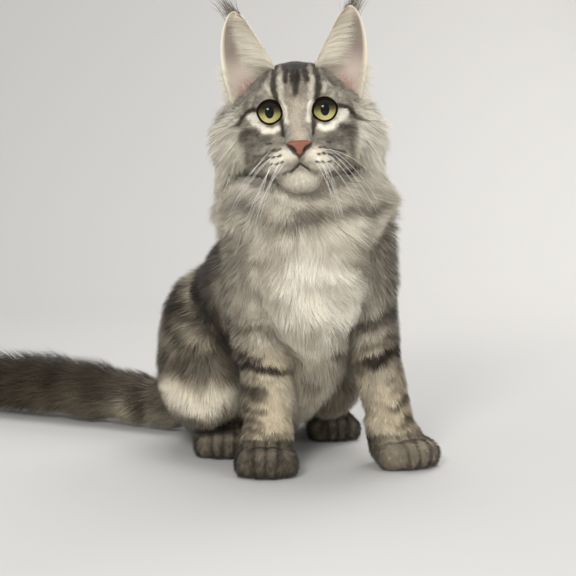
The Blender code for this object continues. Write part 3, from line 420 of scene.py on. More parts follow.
class Noise:
    """Smooth random values over space, the same on every run."""

    TABLE = 4096
    STRIDES = (73856093, 19349663, 83492791)

    def __init__(self, seed: int) -> None:
        """Fills the table of random values."""
        self.table = default_rng(seed).random(self.TABLE)

    def at(self, points: Array, scale: float) -> Array:
        """Values from 0 to 1 that vary over about that length.

        Args:
            points: the places, one a row.
            scale: the length of one cell of the noise, in metres.

        Returns:
            One value for each place.
        """
        cells = np.floor(points / scale).astype(np.int64)
        share = points / scale - cells
        share = share * share * (3 - 2 * share)
        total = np.zeros(len(points))
        for corner in itertools.product((0, 1), repeat=3):
            keys = (cells + corner) * self.STRIDES
            index = (keys[:, 0] ^ keys[:, 1] ^ keys[:, 2]) & (self.TABLE - 1)
            weight = np.prod(np.where(corner, share, 1 - share), axis=1)
            total += weight * self.table[index]
        return total

    def spread(self, points: Array, scale: float) -> Array:
        """Values from -1 to 1, with two finer layers added."""
        coarse = self.at(points, scale)
        middle = self.at(points + 0.37, scale * 0.5)
        fine = self.at(points + 0.71, scale * 0.25)
        return (coarse + 0.5 * middle + 0.25 * fine) / 1.75 * 2 - 1

    def shift(self, points: Array, scale: float, reach: float) -> Array:
        """Points moved about by up to that reach, so that what is drawn with them gets ragged edges."""
        offsets = [self.at(points + step, scale) - 0.5 for step in (0.13, 0.29, 0.53)]
        return points + 2 * reach * np.stack(offsets, axis=1)


NOISE = Noise(5)


# ---------------------------------------------------------------- flesh


class CoatField:
    """The depth, lie, shade and warmth of the coat anywhere on the body."""

    PARTS = (
        (Part.RUFF, (NECK_BACK, NECK_TOP, NECK_LOW, SHOULDERS)),
        (Part.BIB, (CHEST, RIBS, BIB_TOP, BIB_LOW)),
        (Part.RUMP, (LOIN, PELVIS, BELLY)),
        (Part.HAUNCH_RIGHT, HAUNCH_RIGHT),
        (Part.HAUNCH_LEFT, HAUNCH_LEFT),
        (Part.FORELEG_RIGHT, FORELEG_RIGHT),
        (Part.FORELEG_LEFT, FORELEG_LEFT),
        (Part.TAIL, TAIL),
    )
    PAW_COAT = 0.0036
    PAW_DEPTH = 0.018
    PAW_SHADE = 0.29
    PAW_WARMTH = 0.55
    FACE_DEPTH = 0.026
    HEAD_FILL = 0.6
    HEAD_WARMTH = 0.35
    HEAD_SHARE = (0.3, 0.7)
    LENGTH_SHARE = (0.35, 0.75)
    THROAT_CALM = 0.030
    MANE_DEPTH = 0.021
    MANE_LENGTH = 0.027
    MANE_LIE = (0.45, 0.05, -0.90)
    # Where the mane starts and is full, in millimetres of the head's frame.
    MANE_OUT = (22, 34)
    MANE_BACK = (22, 36)
    MANE_BESIDE = (41, 51)
    MANE_TOP = (4, 20)
    MANE_END = (-62, -40)

    def __init__(self) -> None:
        """Lists every ball in the cat's own frame, with the part that it belongs to."""
        self.balls: list[Ball] = []
        self.parts: list[Part] = []
        for part, balls in self.PARTS:
            self._add(part, balls)
        head = list(HEAD_MIDDLE + HEAD_CHIN[1:])
        for ball in HEAD_CHEEK + HEAD_JAW + HEAD_EYE_RIM:
            head += [ball, ball.mirrored()]
        self._add(Part.FACE, [self._in_body(ball) for ball in head])
        for foot in FEET.values():
            self._add(Part.PAWS, self._foot_balls(foot))
        self.centres = np.array([ball.centre for ball in self.balls])
        self.radii = np.array([ball.radii for ball in self.balls])
        self.yaws = np.radians([ball.yaw for ball in self.balls])
        self.is_head = np.array([part is Part.FACE for part in self.parts])
        self.face = FaceLie()

    def _add(self, part: Part, balls: tuple | list) -> None:
        """Adds balls that belong to one part."""
        self.balls += list(balls)
        self.parts += [part] * len(balls)

    @staticmethod
    def _in_body(ball: Ball) -> Ball:
        """A ball of the head, moved from the head's frame to the body's."""
        centre = tuple(HEAD_FRAME @ Vector(ball.centre))
        radii = tuple(radius + CoatField.HEAD_FILL * ball.coat for radius in ball.radii)
        return replace(ball, centre=centre, radii=radii, warmth=CoatField.HEAD_WARMTH)

    def _foot_balls(self, foot: Foot) -> list[Ball]:
        """Three balls that stand for a foot."""
        turn = Matrix.Rotation(math.radians(foot.heading), 3, "Z")
        ahead = turn @ Vector((0, -0.85, -0.5))
        made = []
        for reach in (0.0, foot.back * 0.5, foot.back):
            centre = Vector((*foot.toes, foot.height * 0.45)) + turn @ Vector((0, reach, 0))
            radii = (foot.half_width, self.PAW_DEPTH, foot.height * 0.5)
            coat = (self.PAW_COAT, foot.heading, tuple(ahead), 0, self.PAW_SHADE, self.PAW_WARMTH)
            made.append(Ball(tuple(centre), radii, *coat))
        return made

    def weights(self, points: Array) -> Array:
        """How much each ball counts at each place, as shares that add up to 1."""
        weights = np.empty((len(points), len(self.balls)))
        for index, (centre, radii, yaw) in enumerate(zip(self.centres, self.radii, self.yaws)):
            offset = points - centre
            x = offset[:, 0] * math.cos(yaw) + offset[:, 1] * math.sin(yaw)
            y = offset[:, 1] * math.cos(yaw) - offset[:, 0] * math.sin(yaw)
            reach = np.sqrt((x / radii[0]) ** 2 + (y / radii[1]) ** 2 + (offset[:, 2] / radii[2]) ** 2)
            weights[:, index] = np.exp(-COAT_BLEND * reach)
        return weights / weights.sum(axis=1, keepdims=True)

    def part_index(self, points: Array, weights: Array) -> Array:
        """The number of the part that each place belongs to, in the order of Part."""
        order = list(Part)
        owner = np.array([order.index(part) for part in self.parts])
        totals = np.stack([
            weights[:, owner == index].max(axis=1) if (owner == index).any() else np.zeros(len(points))
            for index in range(len(order))
        ], axis=1)
        found = totals.argmax(axis=1)
        behind = points[:, 1] > np.interp(points[:, 2], SPINE_HEIGHTS, SPINE_Y)
        on_skull = transformed(HEAD_FRAME.inverted(), points)[:, 1] > self.FACE_DEPTH
        for front, back, share in ((Part.FACE, Part.CROWN, on_skull), (Part.RUFF, Part.NAPE, behind),
                                   (Part.BIB, Part.FLANK, behind)):
            found[(found == order.index(front)) & share] = order.index(back)
        return found

    @classmethod
    def mane(cls, points: Array) -> Array:
        """How much each place is in the mane, which starts under the ears and behind the cheeks."""
        local = transformed(HEAD_FRAME.inverted(), points) * 1000
        out = np.abs(local[:, 0])
        behind = smooth_step(*cls.MANE_OUT, out) * smooth_step(*cls.MANE_BACK, local[:, 1])
        beside = smooth_step(*cls.MANE_BESIDE, out)
        below = (1 - smooth_step(*cls.MANE_TOP, local[:, 2])) * smooth_step(*cls.MANE_END, local[:, 2])
        return np.maximum(behind, beside) * below

    def depth(self, points: Array, weights: Array) -> Array:
        """The depth of the coat, from the skin to the tips."""
        left = np.where(self.is_head, 1 - self.HEAD_FILL, 1.0)
        depth = weights @ (np.array([ball.coat for ball in self.balls]) * left)
        return np.maximum(depth, self.MANE_DEPTH * self.mane(points))

    def shade(self, weights: Array) -> tuple[Array, Array]:
        """The shade and the warmth of the coat before its markings."""
        shades = weights @ np.array([ball.shade for ball in self.balls])
        return shades, weights @ np.array([ball.warmth for ball in self.balls])

    def lie(self, points: Array, normals: Array, weights: Array) -> Array:
        """The way the coat lies along the skin.

        Args:
            points: the roots of the tufts.
            normals: the skin's normals there.
            weights: how much each ball counts there.

        Returns:
            One direction for each root, in the plane of the skin.
        """
        lies = np.array([ball.lie for ball in self.balls])
        spreads = weights @ np.array([ball.spread for ball in self.balls])
        out = points - THROAT
        out = out / (np.linalg.norm(out, axis=1, keepdims=True) + self.THROAT_CALM)
        body = weights @ (lies * ~self.is_head[:, None]) + spreads[:, None] * out
        share = smooth_step(*self.HEAD_SHARE, weights[:, self.is_head].sum(axis=1))[:, None]
        head, _ = self.face.at(points)
        lie = body + share * (head - body)
        outward = np.sign(points[:, :1] - HEAD_CENTRE.x)
        mane = np.array(self.MANE_LIE) * np.concatenate([outward, np.ones((len(points), 2))], axis=1)
        lie = lie + self.mane(points)[:, None] * (mane - lie)
        return unit(lie - normals * dot(lie, normals))

    def head_length(self, points: Array, weights: Array, lengths: Array) -> Array:
        """Lengths of tufts, with those of the head taken from its guides."""
        share = smooth_step(*self.LENGTH_SHARE, weights[:, self.is_head].sum(axis=1))
        _, wanted = self.face.at(points)
        lengths = lengths + (wanted - lengths) * share
        return np.maximum(lengths, self.MANE_LENGTH * self.mane(points))


@dataclass(frozen=True)
class Guide:
    """A place on the front of the head, the way its fur lies there, and its length, all in millimetres."""

    place: tuple
    lie: tuple
    length: float


class FaceLie:
    """How the fur of the head lies: back over the skull, round the eyes and away from the nose."""

    REACH = 6.5
    BACKWARD = 0.30
    SKULL_LIE = (0.25, 0.75, -0.65)
    SKULL_LENGTH = 8.0
    SKULL_FROM = (22.0, 40.0)
    GUIDES = tuple(itertools.starmap(Guide, (
        ((0, -20), (0.10, 1.0), 1.3), ((4, -8), (0.05, 1.0), 1.5), ((0, 6), (0.0, 1.0), 2.2),
        ((9, 1), (0.10, 1.0), 1.5), ((0, 22), (0.0, 1.0), 3.2), ((0, 42), (0.0, 1.0), 4.5),
        ((14, 15), (0.15, 1.0), 2.2), ((24, 15), (0.55, 1.0), 2.4), ((14, 32), (0.20, 1.0), 3.6),
        ((28, 28), (0.60, 1.0), 3.6), ((33, 8), (1.0, 0.55), 2.6), ((38, 18), (1.0, 0.8), 4.5),
        ((36, -2), (1.0, -0.05), 3.0), ((9, -9), (0.20, -1.0), 1.4), ((13, -16), (0.75, -0.75), 1.6),
        ((22, -15), (1.0, -0.40), 1.8), ((32, -11), (1.0, -0.20), 2.8), ((8, -24), (1.0, -0.15), 1.4),
        ((16, -27), (1.0, -0.20), 2.0), ((24, -34), (1.0, -0.40), 2.8), ((5, -36), (0.85, -0.5), 1.4),
        ((14, -42), (0.80, -0.65), 2.2), ((0, -47), (0.0, -1.0), 1.8), ((8, -53), (0.25, -1.0), 2.6),
        ((0, -60), (0.0, -1.0), 3.2), ((20, -52), (0.50, -0.85), 4.5), ((32, -24), (1.0, -0.35), 4.5),
        ((42, -12), (1.0, -0.45), 7.5), ((40, -28), (0.9, -0.60), 9.5), ((32, -42), (0.6, -0.85), 9.0),
        ((48, 0), (0.8, -0.60), 10.0), ((52, -20), (0.6, -0.85), 14.0),
        ((46, -40), (0.45, -0.95), 14.0),
    )))

    def __init__(self) -> None:
        """Keeps the guides as arrays."""
        self.places = np.array([guide.place for guide in self.GUIDES], dtype=float)
        self.lies = np.array([(guide.lie[0], self.BACKWARD, guide.lie[1]) for guide in self.GUIDES])
        self.lengths = np.array([guide.length for guide in self.GUIDES])

    def at(self, points: Array) -> tuple[Array, Array]:
        """The way the fur lies at places on the head, and its length there.

        Args:
            points: the places, in the cat's own frame.

        Returns:
            The directions in that frame, and the lengths in metres.
        """
        local = transformed(HEAD_FRAME.inverted(), points) * 1000
        side = np.where(local[:, :1] < 0, -1.0, 1.0)
        flat = np.stack([np.abs(local[:, 0]), local[:, 2]], axis=1)
        square = ((flat[:, None] - self.places[None]) ** 2).sum(axis=2)
        weights = np.exp(-(square - square.min(axis=1, keepdims=True)) / (2 * self.REACH**2))
        weights /= weights.sum(axis=1, keepdims=True)
        back = smooth_step(*self.SKULL_FROM, local[:, 1])
        lie = unit(weights @ self.lies)
        lie = lie + back[:, None] * (unit(np.array(self.SKULL_LIE)) - lie)
        lie[:, :1] *= side
        lengths = weights @ self.lengths
        lengths = lengths + back * (np.maximum(lengths, self.SKULL_LENGTH) - lengths)
        return turned(HEAD_FRAME, lie), lengths / 1000


class Skin:
    """The one skin of the whole animal, under its coat."""

    VOXEL = 0.0016
    SMOOTHING = 5
    FINE_REACH = 0.020
    SEGMENTS = 16
    PAW_INSET = 0.0016
    # How far back each toe lies and how much higher.
    TOES = ((0.006, 0.0), (0.0, 0.0015), (0.0, 0.0015), (0.006, 0.0))
    ANKLE = (0.0195, 0.0205, 0.016)
    MOUTH_CORNER = (0.012, -0.02, -0.038)
    LID_BULGE = 0.0012
    SOCKET_DEPTH = 0.0040
    SOCKET_REACH = 1.8
    LID_HUG = 0.0001
    LID_WIDTH = 1.38
    GROOVE_DEPTH = 0.0016
    GROOVE_WIDTH = 0.0010
    GROOVE_BACK = 0.004

    def __init__(self) -> None:
        """Makes the mesh and reads its surface."""
        self.object = self._make()
        self.points, self.normals, self.triangles = self._read()
        corners = self.points[self.triangles]
        crosses = np.cross(corners[:, 1] - corners[:, 0], corners[:, 2] - corners[:, 0])
        self.areas = np.linalg.norm(crosses, axis=1) / 2
        self.middles = corners.mean(axis=1)
        self.tree = BVHTree.FromPolygons(self.points.tolist(), self.triangles.tolist())

    def _ball_points(self, ball: Ball, extra: float, placing: Matrix) -> list[Vector]:
        """Points spread over a ball, grown by that share of its coat, or shrunk if extra is negative."""
        grown = extra if extra < 0 else extra * ball.coat
        size = Matrix.Diagonal((*[radius + grown for radius in ball.radii], 1.0))
        turn = Matrix.Translation(ball.centre) @ Matrix.Rotation(math.radians(ball.yaw), 4, "Z")
        return ball_points(placing @ turn @ size, self.SEGMENTS, self.SEGMENTS // 2)

    def _add_chain(
        self, bm: BMesh, balls: tuple | list, extra: float = 0.0, placing: Matrix = Matrix()
    ) -> None:
        """Adds a string of balls, each hulled with the next.

        Args:
            bm: the mesh that takes them.
            balls: the balls, in order.
            extra: the share of its coat that each is grown by, or how far each shrinks if it is negative.
            placing: the frame that they are given in.
        """
        pairs = list(zip(balls, balls[1:])) or [(balls[0], balls[0])]
        for first, second in pairs:
            ends = self._ball_points(first, extra, placing) + self._ball_points(second, extra, placing)
            mesh = mesh_of("hull", hull_of(ends))
            bm.from_mesh(mesh)
            bpy.data.meshes.remove(mesh)

    def _add_foot(self, bm: BMesh, foot: Foot) -> None:
        """Adds a foot with its four toes."""
        turn = Matrix.Rotation(math.radians(foot.heading), 4, "Z")
        placing = Matrix.Translation((*foot.toes, 0.0)) @ turn
        wide = (foot.half_width * 0.86, 0.014, foot.height * 0.50)
        knuckles = Ball((0.0, 0.012, foot.height * 0.46), wide)
        for slot, (forward, rise) in enumerate(self.TOES):
            x = (slot - 1.5) * foot.toe_step
            radii = (foot.toe_step * 1.30, 0.0130, foot.height * 0.46)
            toe = Ball((x, forward - 0.003, foot.height * 0.36 + rise), radii)
            joint = Ball((x * 0.8, 0.014, foot.height * 0.45), radii)
            self._add_chain(bm, (toe, joint), -self.PAW_INSET, placing)
        heel = (foot.ankle[0], foot.back, foot.height * 0.45)
        sole = Ball(heel, (foot.half_width * 0.62, 0.014, foot.height * 0.48))
        ankle = Ball(foot.ankle, self.ANKLE)
        for pair in ((knuckles, sole), (knuckles, ankle), (sole, ankle)):
            self._add_chain(bm, pair, -self.PAW_INSET, placing)

    def _make(self) -> Object:
        """Fuses the flesh into one closed skin with its sockets and its mouth."""
        bm = bmesh.new()
        for chain in (SPINE, BIB, UNDERSIDE, FORELEG_RIGHT, FORELEG_LEFT, HAUNCH_RIGHT, HAUNCH_LEFT, TAIL):
            self._add_chain(bm, chain)
        for chain in (HEAD_MIDDLE, HEAD_CHIN):
            self._add_chain(bm, chain, CoatField.HEAD_FILL, HEAD_FRAME)
        for half in (HEAD_CHEEK, HEAD_JAW, HEAD_EYE_RIM):
            self._add_chain(bm, half, CoatField.HEAD_FILL, HEAD_FRAME)
            self._add_chain(bm, [ball.mirrored() for ball in half], CoatField.HEAD_FILL, HEAD_FRAME)
        lid = Ball((0.0, 0.0, 0.0), (EYE_RADIUS + self.LID_BULGE,) * 3)
        for side in Side:
            self._add_chain(bm, (lid,), placing=eye_frame(side))
        for foot in FEET.values():
            self._add_foot(bm, foot)
        item = fused("cat_skin", bm, self.VOXEL, self.SMOOTHING)
        self._refine(item.data)
        return item

    def _refine(self, mesh: Mesh) -> None:
        """Makes the face finer, and shapes its sockets, its mouth and the soles."""
        bm = bmesh.new()
        bm.from_mesh(mesh)
        places = [np.array(eye_frame(side).translation) for side in Side]
        x, y, z = self.MOUTH_CORNER
        places += [np.array(HEAD_FRAME @ Vector((side.value * x, y, z))) for side in Side]
        middles = np.array([face.calc_center_median() for face in bm.faces])
        near = np.min([np.linalg.norm(middles - place, axis=1) for place in places], axis=0)
        fine = [face for face, reach in zip(bm.faces, near) if reach < self.FINE_REACH]
        chosen = list({edge for face in fine for edge in face.edges})
        bmesh.ops.subdivide_edges(bm, edges=chosen, cuts=1, use_grid_fill=True, smooth=0.5)
        bmesh.ops.triangulate(bm, faces=bm.faces)
        bm.normal_update()
        points = np.array([vert.co for vert in bm.verts])
        normals = np.array([vert.normal for vert in bm.verts])
        for side in Side:
            points = self._socket(points, side)
        local = transformed(HEAD_FRAME.inverted(), points)
        reach = np.min([path_distance(local[:, ::2], route) for route in mouth_routes()], axis=0)
        front = local[:, 1] < self.GROOVE_BACK
        push = self.GROOVE_DEPTH * np.exp(-((reach / self.GROOVE_WIDTH) ** 2)) * front
        points = points - normals * push[:, None]
        points[:, 2] = np.maximum(points[:, 2], FLOOR_CLEARANCE)
        for vert, place in zip(bm.verts, points):
            vert.co = place
        bm.to_mesh(mesh)
        bm.free()
        mesh.shade_smooth()

    def _socket(self, points: Array, side: Side) -> Array:
        """Presses the skin in behind one eye, and draws its lids close to the eyeball."""
        placing = eye_frame(side)
        local = transformed(placing.inverted(), points)
        reach = np.linalg.norm(local, axis=1)
        far = np.hypot(local[:, 0], local[:, 1])
        seen = lid_measure(local, side)
        near = (local[:, 2] > 0) & (reach < EYE_RADIUS * self.SOCKET_REACH)
        inside = near & (seen < 1.0)
        hug = np.sqrt(np.maximum((EYE_RADIUS + self.LID_HUG) ** 2 - far**2, 0.0))
        lids = near & ~inside & (seen < self.LID_WIDTH) & (local[:, 2] > hug)
        share = smooth_step(1.0, self.LID_WIDTH, seen)
        local[lids, 2] = (hug + (local[:, 2] - hug) * share)[lids]
        local[inside] *= ((EYE_RADIUS - self.SOCKET_DEPTH) / reach[inside])[:, None]
        return transformed(placing, local)

    def _read(self) -> tuple[Array, Array, Array]:
        """The skin's points, their normals, and its triangles."""
        mesh = self.object.data
        normals = np.empty(len(mesh.vertices) * 3)
        mesh.vertex_normals.foreach_get("vector", normals)
        triangles = np.empty(len(mesh.loops), dtype=np.int64)
        mesh.loops.foreach_get("vertex_index", triangles)
        return mesh_points(mesh), normals.reshape(-1, 3), triangles.reshape(-1, 3)


def lid_measure(local: Array, side: Side) -> Array:
    """How far out points of an eye's frame are, with 1 on the edge of its lids."""
    half_width, half_height = LID_OPENING
    angle = np.arctan2(local[:, 1], local[:, 0])
    return np.hypot(local[:, 0] / half_width, local[:, 1] / half_height) / lid_corner(angle, side)


def lid_corner(angle: Array, side: Side) -> Array:
    """How the lids draw out at their two corners, more towards the nose."""
    nose_side = np.cos(angle) * -side.value
    return 1.0 + 0.07 * np.clip(nose_side, 0, 1) ** 10 + 0.07 * np.clip(-nose_side, 0, 1) ** 8


def mouth_routes() -> list[Array]:
    """The lines of the mouth and the lip as seen from the front, as X and Z of the head's frame."""
    lip = np.array(((0.0, -0.0402), (0.0046, -0.0432), (0.0080, -0.0456), (0.0098, -0.0464)))
    return [np.array([(0.0, -0.0335), (0.0, -0.0405)]), lip, lip * (-1.0, 1.0)]


@dataclass(frozen=True)
class Stroke:
    """A soft-edged line of another shade, in millimetres: its points, half width, shade and strength."""

    points: tuple
    width: float
    shade: float
    strength: float = 1.0

    def cover(self, places: Array) -> Array:
        """How strongly the stroke covers each place, from 0 to 1."""
        path = np.array(self.points, dtype=float)
        reach = path_distance(places, path) if len(path) > 1 else np.linalg.norm(places - path[0], axis=1)
        return self.strength * (1 - smooth_step(self.width * 0.30, self.width * 1.70, reach))

    def over(self, shade: Array, places: Array, share: Array | float) -> Array:
        """Shades with this stroke laid over them, where the share is 1."""
        return shade + (self.shade - shade) * self.cover(places) * share


@dataclass(frozen=True)
class Band:
    """A band across a foreleg, in millimetres: its height, half width, shade, strength, and how far out."""

    height: float
    width: float
    shade: float
    strength: float
    outer_only: bool = False


class Markings:
    """The tabby pattern of the coat: shades from 0, darkest, to 1, palest."""

    # The face, as the distance from its middle line and the height over the eyes.
    FACE = tuple(itertools.starmap(Stroke, (
        (((0, 48), (0, 36)), 9.5, 0.14, 0.9), (((27, 32), (35, 20)), 5.0, 0.40, 0.6),
        (((0, 42), (0, 29)), 6.0, 0.07, 0.85), (((0, 30), (0.5, 24), (-0.5, 16)), 3.2, 0.05, 0.95),
        (((9.5, 42), (7.5, 31), (8.4, 22)), 1.9, 0.07, 0.9),
        (((14, 38), (17.0, 27), (17.5, 17), (15.0, 9.0)), 2.1, 0.08, 0.9),
        (((12.2, 25), (11.4, 9)), 2.3, 0.72, 0.8), (((4.2, 30), (4.6, 24)), 0.9, 0.55, 0.35),
        (((22.5, 20), (21, 14)), 1.8, 0.76, 0.6), (((20, 36), (25, 25), (30, 17)), 1.5, 0.20, 0.5),
        (((28, 34), (34, 22)), 1.4, 0.22, 0.4), (((11, 5), (9.6, 0), (8.6, -7)), 2.1, 0.98, 0.9),
        (((36, -1), (32, -9), (25, -13.6), (19.5, -14.6), (16.5, -12.5)), 2.6, 0.98, 0.95),
        (((12.8, -6.5), (11.6, -12), (11.0, -18.0)), 1.6, 0.10, 0.9),
        (((31, 3), (37, 1.6), (41.5, -2.5), (44.0, -8)), 1.5, 0.05, 0.95),
        (((33, -14), (39, -15)), 3.6, 0.20, 0.75), (((24, -21), (34, -22), (40, -21)), 3.6, 0.30, 0.7),
        (((22, -30), (33, -32)), 1.0, 0.22, 0.7), (((24, -34.5), (37, -38)), 1.1, 0.24, 0.6),
        (((38, -25), (39, -35)), 1.6, 0.22, 0.6), (((45, -24), (44, -34)), 4.5, 0.86, 0.8),
        (((42, -42), (34, -48), (26, -54), (18, -59.5), (9, -63.5)), 3.0, 0.14, 0.8),
        (((5, -31), (12, -33), (19, -38)), 5.4, 0.88, 0.95), (((16, -42), (26, -43)), 3.2, 0.78, 0.7),
        (((0, -52), (7, -52)), 9.0, 0.74, 0.95),
        (((0, -40.2), (4.6, -43.2), (8.0, -45.6)), 0.95, 0.05, 0.95),
        (((8.0, -45.6), (12.0, -47.0)), 1.2, 0.28, 0.6), (((0, -33), (0, -40.5)), 0.55, 0.30, 0.85),
        (((9.5, -24.5), (1.0, -34.5)), 0.9, 0.12, 0.7),
    )))
    SPOTS = (
        (18.5, -28.0), (14.8, -28.4), (22.0, -33.6), (18.0, -33.2), (13.8, -33.2), (20.6, -38.6),
        (16.4, -38.4), (12.4, -38.6), (21.5, -24.0),
    )
    SPOT_RUN = (1.6, -0.3)
    SPOT_WIDTH = 0.8
    SPOT_SHADE = 0.10
    SPOT_STRENGTH = 0.75
    BRIDGE = Stroke(((0, 4), (0, -22)), 6.6, 0.64, 0.85)
    # Strokes over the trunk and haunches as seen from the front, along X and Z.
    FRONT = tuple(itertools.starmap(Stroke, (
        (((-72, 190), (-76, 163), (-77, 146), (-74, 128), (-66, 106), (-58, 96)), 8.5, 0.08, 0.92),
        (((-85, 172), (-90, 146), (-87, 124)), 3.5, 0.58, 0.7),
        (((-97, 162), (-105, 145), (-101, 126)), 8.0, 0.12, 0.75),
        (((-122, 136), (-118, 116)), 5.0, 0.52, 0.6), (((-100, 117), (-86, 103)), 4.5, 0.60, 0.65),
        (((-114, 112), (-104, 100)), 3.5, 0.58, 0.5),
        (((-120, 94), (-98, 88), (-74, 82)), 8.0, 0.33, 0.55),
        (((-106, 66), (-86, 61), (-62, 62)), 12.0, 0.97, 0.95),
        (((-112, 34), (-96, 30)), 8.0, 0.20, 0.8), (((-7, 186), (-2, 166)), 9.5, 1.0, 0.98),
        (((12, 180), (16, 170)), 5.0, 1.0, 0.85), (((2, 138), (8, 112)), 10.0, 0.72, 0.65),
        (((-38, 172), (-30, 169)), 5.0, 0.98, 0.75),
        # Painted shadow: a dark crease where the ruff's clumps part under the chin.
        (((-38, 228), (-27, 220), (-18, 212), (-5, 218), (12, 221), (38, 227)), 4.0, 0.30, 0.6),
        (((-30, 196), (-14, 188)), 4.0, 0.50, 0.6), (((16, 190), (30, 196)), 4.0, 0.52, 0.6),
        (((33, 192), (46, 156)), 11.0, 0.36, 0.85), (((-50, 156), (-48, 138)), 9.0, 0.50, 0.6),
        (((-44, 153), (-30, 152)), 5.0, 0.60, 0.6), (((15, 115), (19, 112)), 2.8, 0.10, 0.85),
        (((35, 137), (39, 129)), 2.6, 0.20, 0.75), (((17, 138), (20, 136)), 2.4, 0.34, 0.6),
        (((-4, 88), (4, 80)), 6.5, 0.34, 0.6), (((70, 156), (78, 134), (80, 110)), 6.5, 0.16, 0.8),
        (((60, 166), (74, 156)), 6.0, 0.45, 0.6), (((50, 184), (78, 176)), 3.5, 0.50, 0.65),
        (((54, 208), (82, 204)), 3.0, 0.55, 0.65), (((-62, 202), (-44, 196)), 3.5, 0.60, 0.55),
    )))
    # Strokes in space: the patches where the tail leaves the body.
    SPACE = tuple(itertools.starmap(Stroke, (
        (((-156, 190, 24), (-152, 180, 40)), 8.0, 0.66, 0.8),
        (((-140, 190, 20), (-138, 180, 60)), 5.5, 0.06, 0.9),
        (((-126, 170, 34), (-128, 176, 40)), 5.0, 0.72, 0.8),
        (((-128, 176, 60), (-122, 176, 62)), 6.0, 0.08, 0.8),
    )))
    BANDS = {
        Part.FORELEG_RIGHT: (
            Band(120, 4.6, 0.40, 0.75), Band(138, 3.0, 0.55, 0.5), Band(87.5, 3.2, 0.05, 0.95),
            Band(96, 3.6, 0.24, 0.8, True), Band(68, 4.5, 0.16, 0.75, True), Band(54, 2.4, 0.20, 0.6, True),
            Band(44, 2.6, 0.22, 0.6, True), Band(36, 2.2, 0.20, 0.5),
        ),
        Part.FORELEG_LEFT: (
            Band(122, 4.6, 0.22, 0.85), Band(104, 3.6, 0.32, 0.75), Band(91, 4.8, 0.05, 0.95),
            Band(72, 2.4, 0.38, 0.6, True), Band(62, 2.2, 0.40, 0.5, True), Band(51, 2.8, 0.12, 0.8, True),
            Band(34, 2.6, 0.18, 0.75, True),
        ),
    }
    BAND_SLOPE = {Part.FORELEG_RIGHT: 0.13, Part.FORELEG_LEFT: 0.42}
    OUTER_SHADE = {Part.FORELEG_RIGHT: 0.52, Part.FORELEG_LEFT: 0.62}
    FOOT_PALE = {"forepaw_left": 0.15, "hindpaw_right": 0.08}
    CREAM = 0.70
    UPPER_LEG = {Part.FORELEG_RIGHT: 0.68, Part.FORELEG_LEFT: 0.60}
    FLANK_STEP = 0.030
    MOTTLE = 0.12
    CLUMP_MOTTLE = 0.24
    CLUMP_STRETCH = (0.6, 0.6, 1.5)
    WARMTH_MOTTLE = 0.12
    MANE_SHADE = (0.90, 0.16)
    MANE_SHARE = 0.85
    # The trunk: how much darker the back and its bands are, how much paler the gaps, and the back's stripe.
    BACK_DARK = 0.34
    BAND_DARK = 0.22
    GAP_PALE = 0.14
    STRIPE_SHADE = 0.08
    STRIPE_SHARE = 0.8
    # The legs: how much darker their outside, their back above and their back below are.
    LEG_OUTER_DARK = 0.10
    LEG_BACK_DARK = (0.25, 0.10)
    # The feet: how much painted shade darkens the gaps of the toes, how much darker the rings are, and how
    # much paler the tops.
    TOE_GAP_PAINTED_SHADE = 0.14
    FOOT_RING_DARK = 0.06
    FOOT_TOP_PALE = 0.14
    # The tail: how much paler it is below, and below near the body, and how much darker its rings are.
    TAIL_UNDER = (0.14, 0.12)
    TAIL_RING_DARK = 0.05
    TAIL_RING_STEP = 0.042
    # The face: its ground, how mottled it is, its pale cheeks, and the back of the skull.
    FACE_SHADE = 0.49
    FACE_MOTTLE = (0.20, 0.07)
    CHEEK_PALE = 0.30
    SKULL_SHADES = (0.34, 0.18, 0.22)
    FACE_WARMTH = (0.22, 0.28)

    def __init__(self, coat: CoatField) -> None:
        """Keeps the field that the markings are drawn over."""
        self.coat = coat

    def at(self, points: Array, normals: Array, weights: Array) -> tuple[Array, Array]:
        """The shade and warmth of the coat at places on the skin.

        Args:
            points: the places, in the cat's own frame.
            normals: the skin's normals there.
            weights: how much each ball of flesh counts there.

        Returns:
            The shades, from 0 for the darkest to 1 for the palest, and the warmths, from 0 to 1.
        """
        ragged = NOISE.shift(points, 0.008, 0.0035)
        shade, warmth = self.coat.shade(weights)
        parts = self.coat.part_index(points, weights)
        share = {part: (parts == index) for index, part in enumerate(Part)}
        shade = self._trunk(ragged, shade, share)
        facing = smooth_step(0.35, -0.25, normals[:, 1])
        for stroke in self.FRONT:
            limbs = share[Part.FORELEG_LEFT] | share[Part.FORELEG_RIGHT] | share[Part.TAIL]
            shade = stroke.over(shade, ragged[:, ::2] * 1000, facing * ~limbs)
        for stroke in self.SPACE:
            shade = stroke.over(shade, ragged * 1000, 1.0)
        for part in self.BANDS:
            shade = self._leg(ragged, normals, shade, part, share[part])
        shade = self._feet(points, normals, shade, share[Part.PAWS])
        shade = self._tail(ragged, normals, shade, share[Part.TAIL])
        body = 1 - 0.5 * share[Part.PAWS]
        shade = shade + self.MOTTLE * NOISE.spread(points, 0.013) * body
        long_fur = share[Part.RUFF] | share[Part.BIB] | share[Part.NAPE] | share[Part.FLANK]
        clumps = NOISE.spread(points * self.CLUMP_STRETCH + 2.2, 0.008)
        shade = shade + self.CLUMP_MOTTLE * clumps * long_fur
        face, face_warmth = self._face(points)
        head = smooth_step(*self.coat.HEAD_SHARE, weights[:, self.coat.is_head].sum(axis=1))
        shade = shade + (face - shade) * head
        warmth = warmth + (face_warmth - warmth) * head
        mane = self.MANE_SHADE[0] + self.MANE_SHADE[1] * NOISE.spread(points + 6.3, 0.012)
        shade = shade + (mane - shade) * self.MANE_SHARE * self.coat.mane(points)
        warmth = warmth + self.WARMTH_MOTTLE * NOISE.spread(points + 3.1, 0.02)
        return np.clip(shade, 0.0, 1.0), np.clip(warmth, 0.0, 1.0)

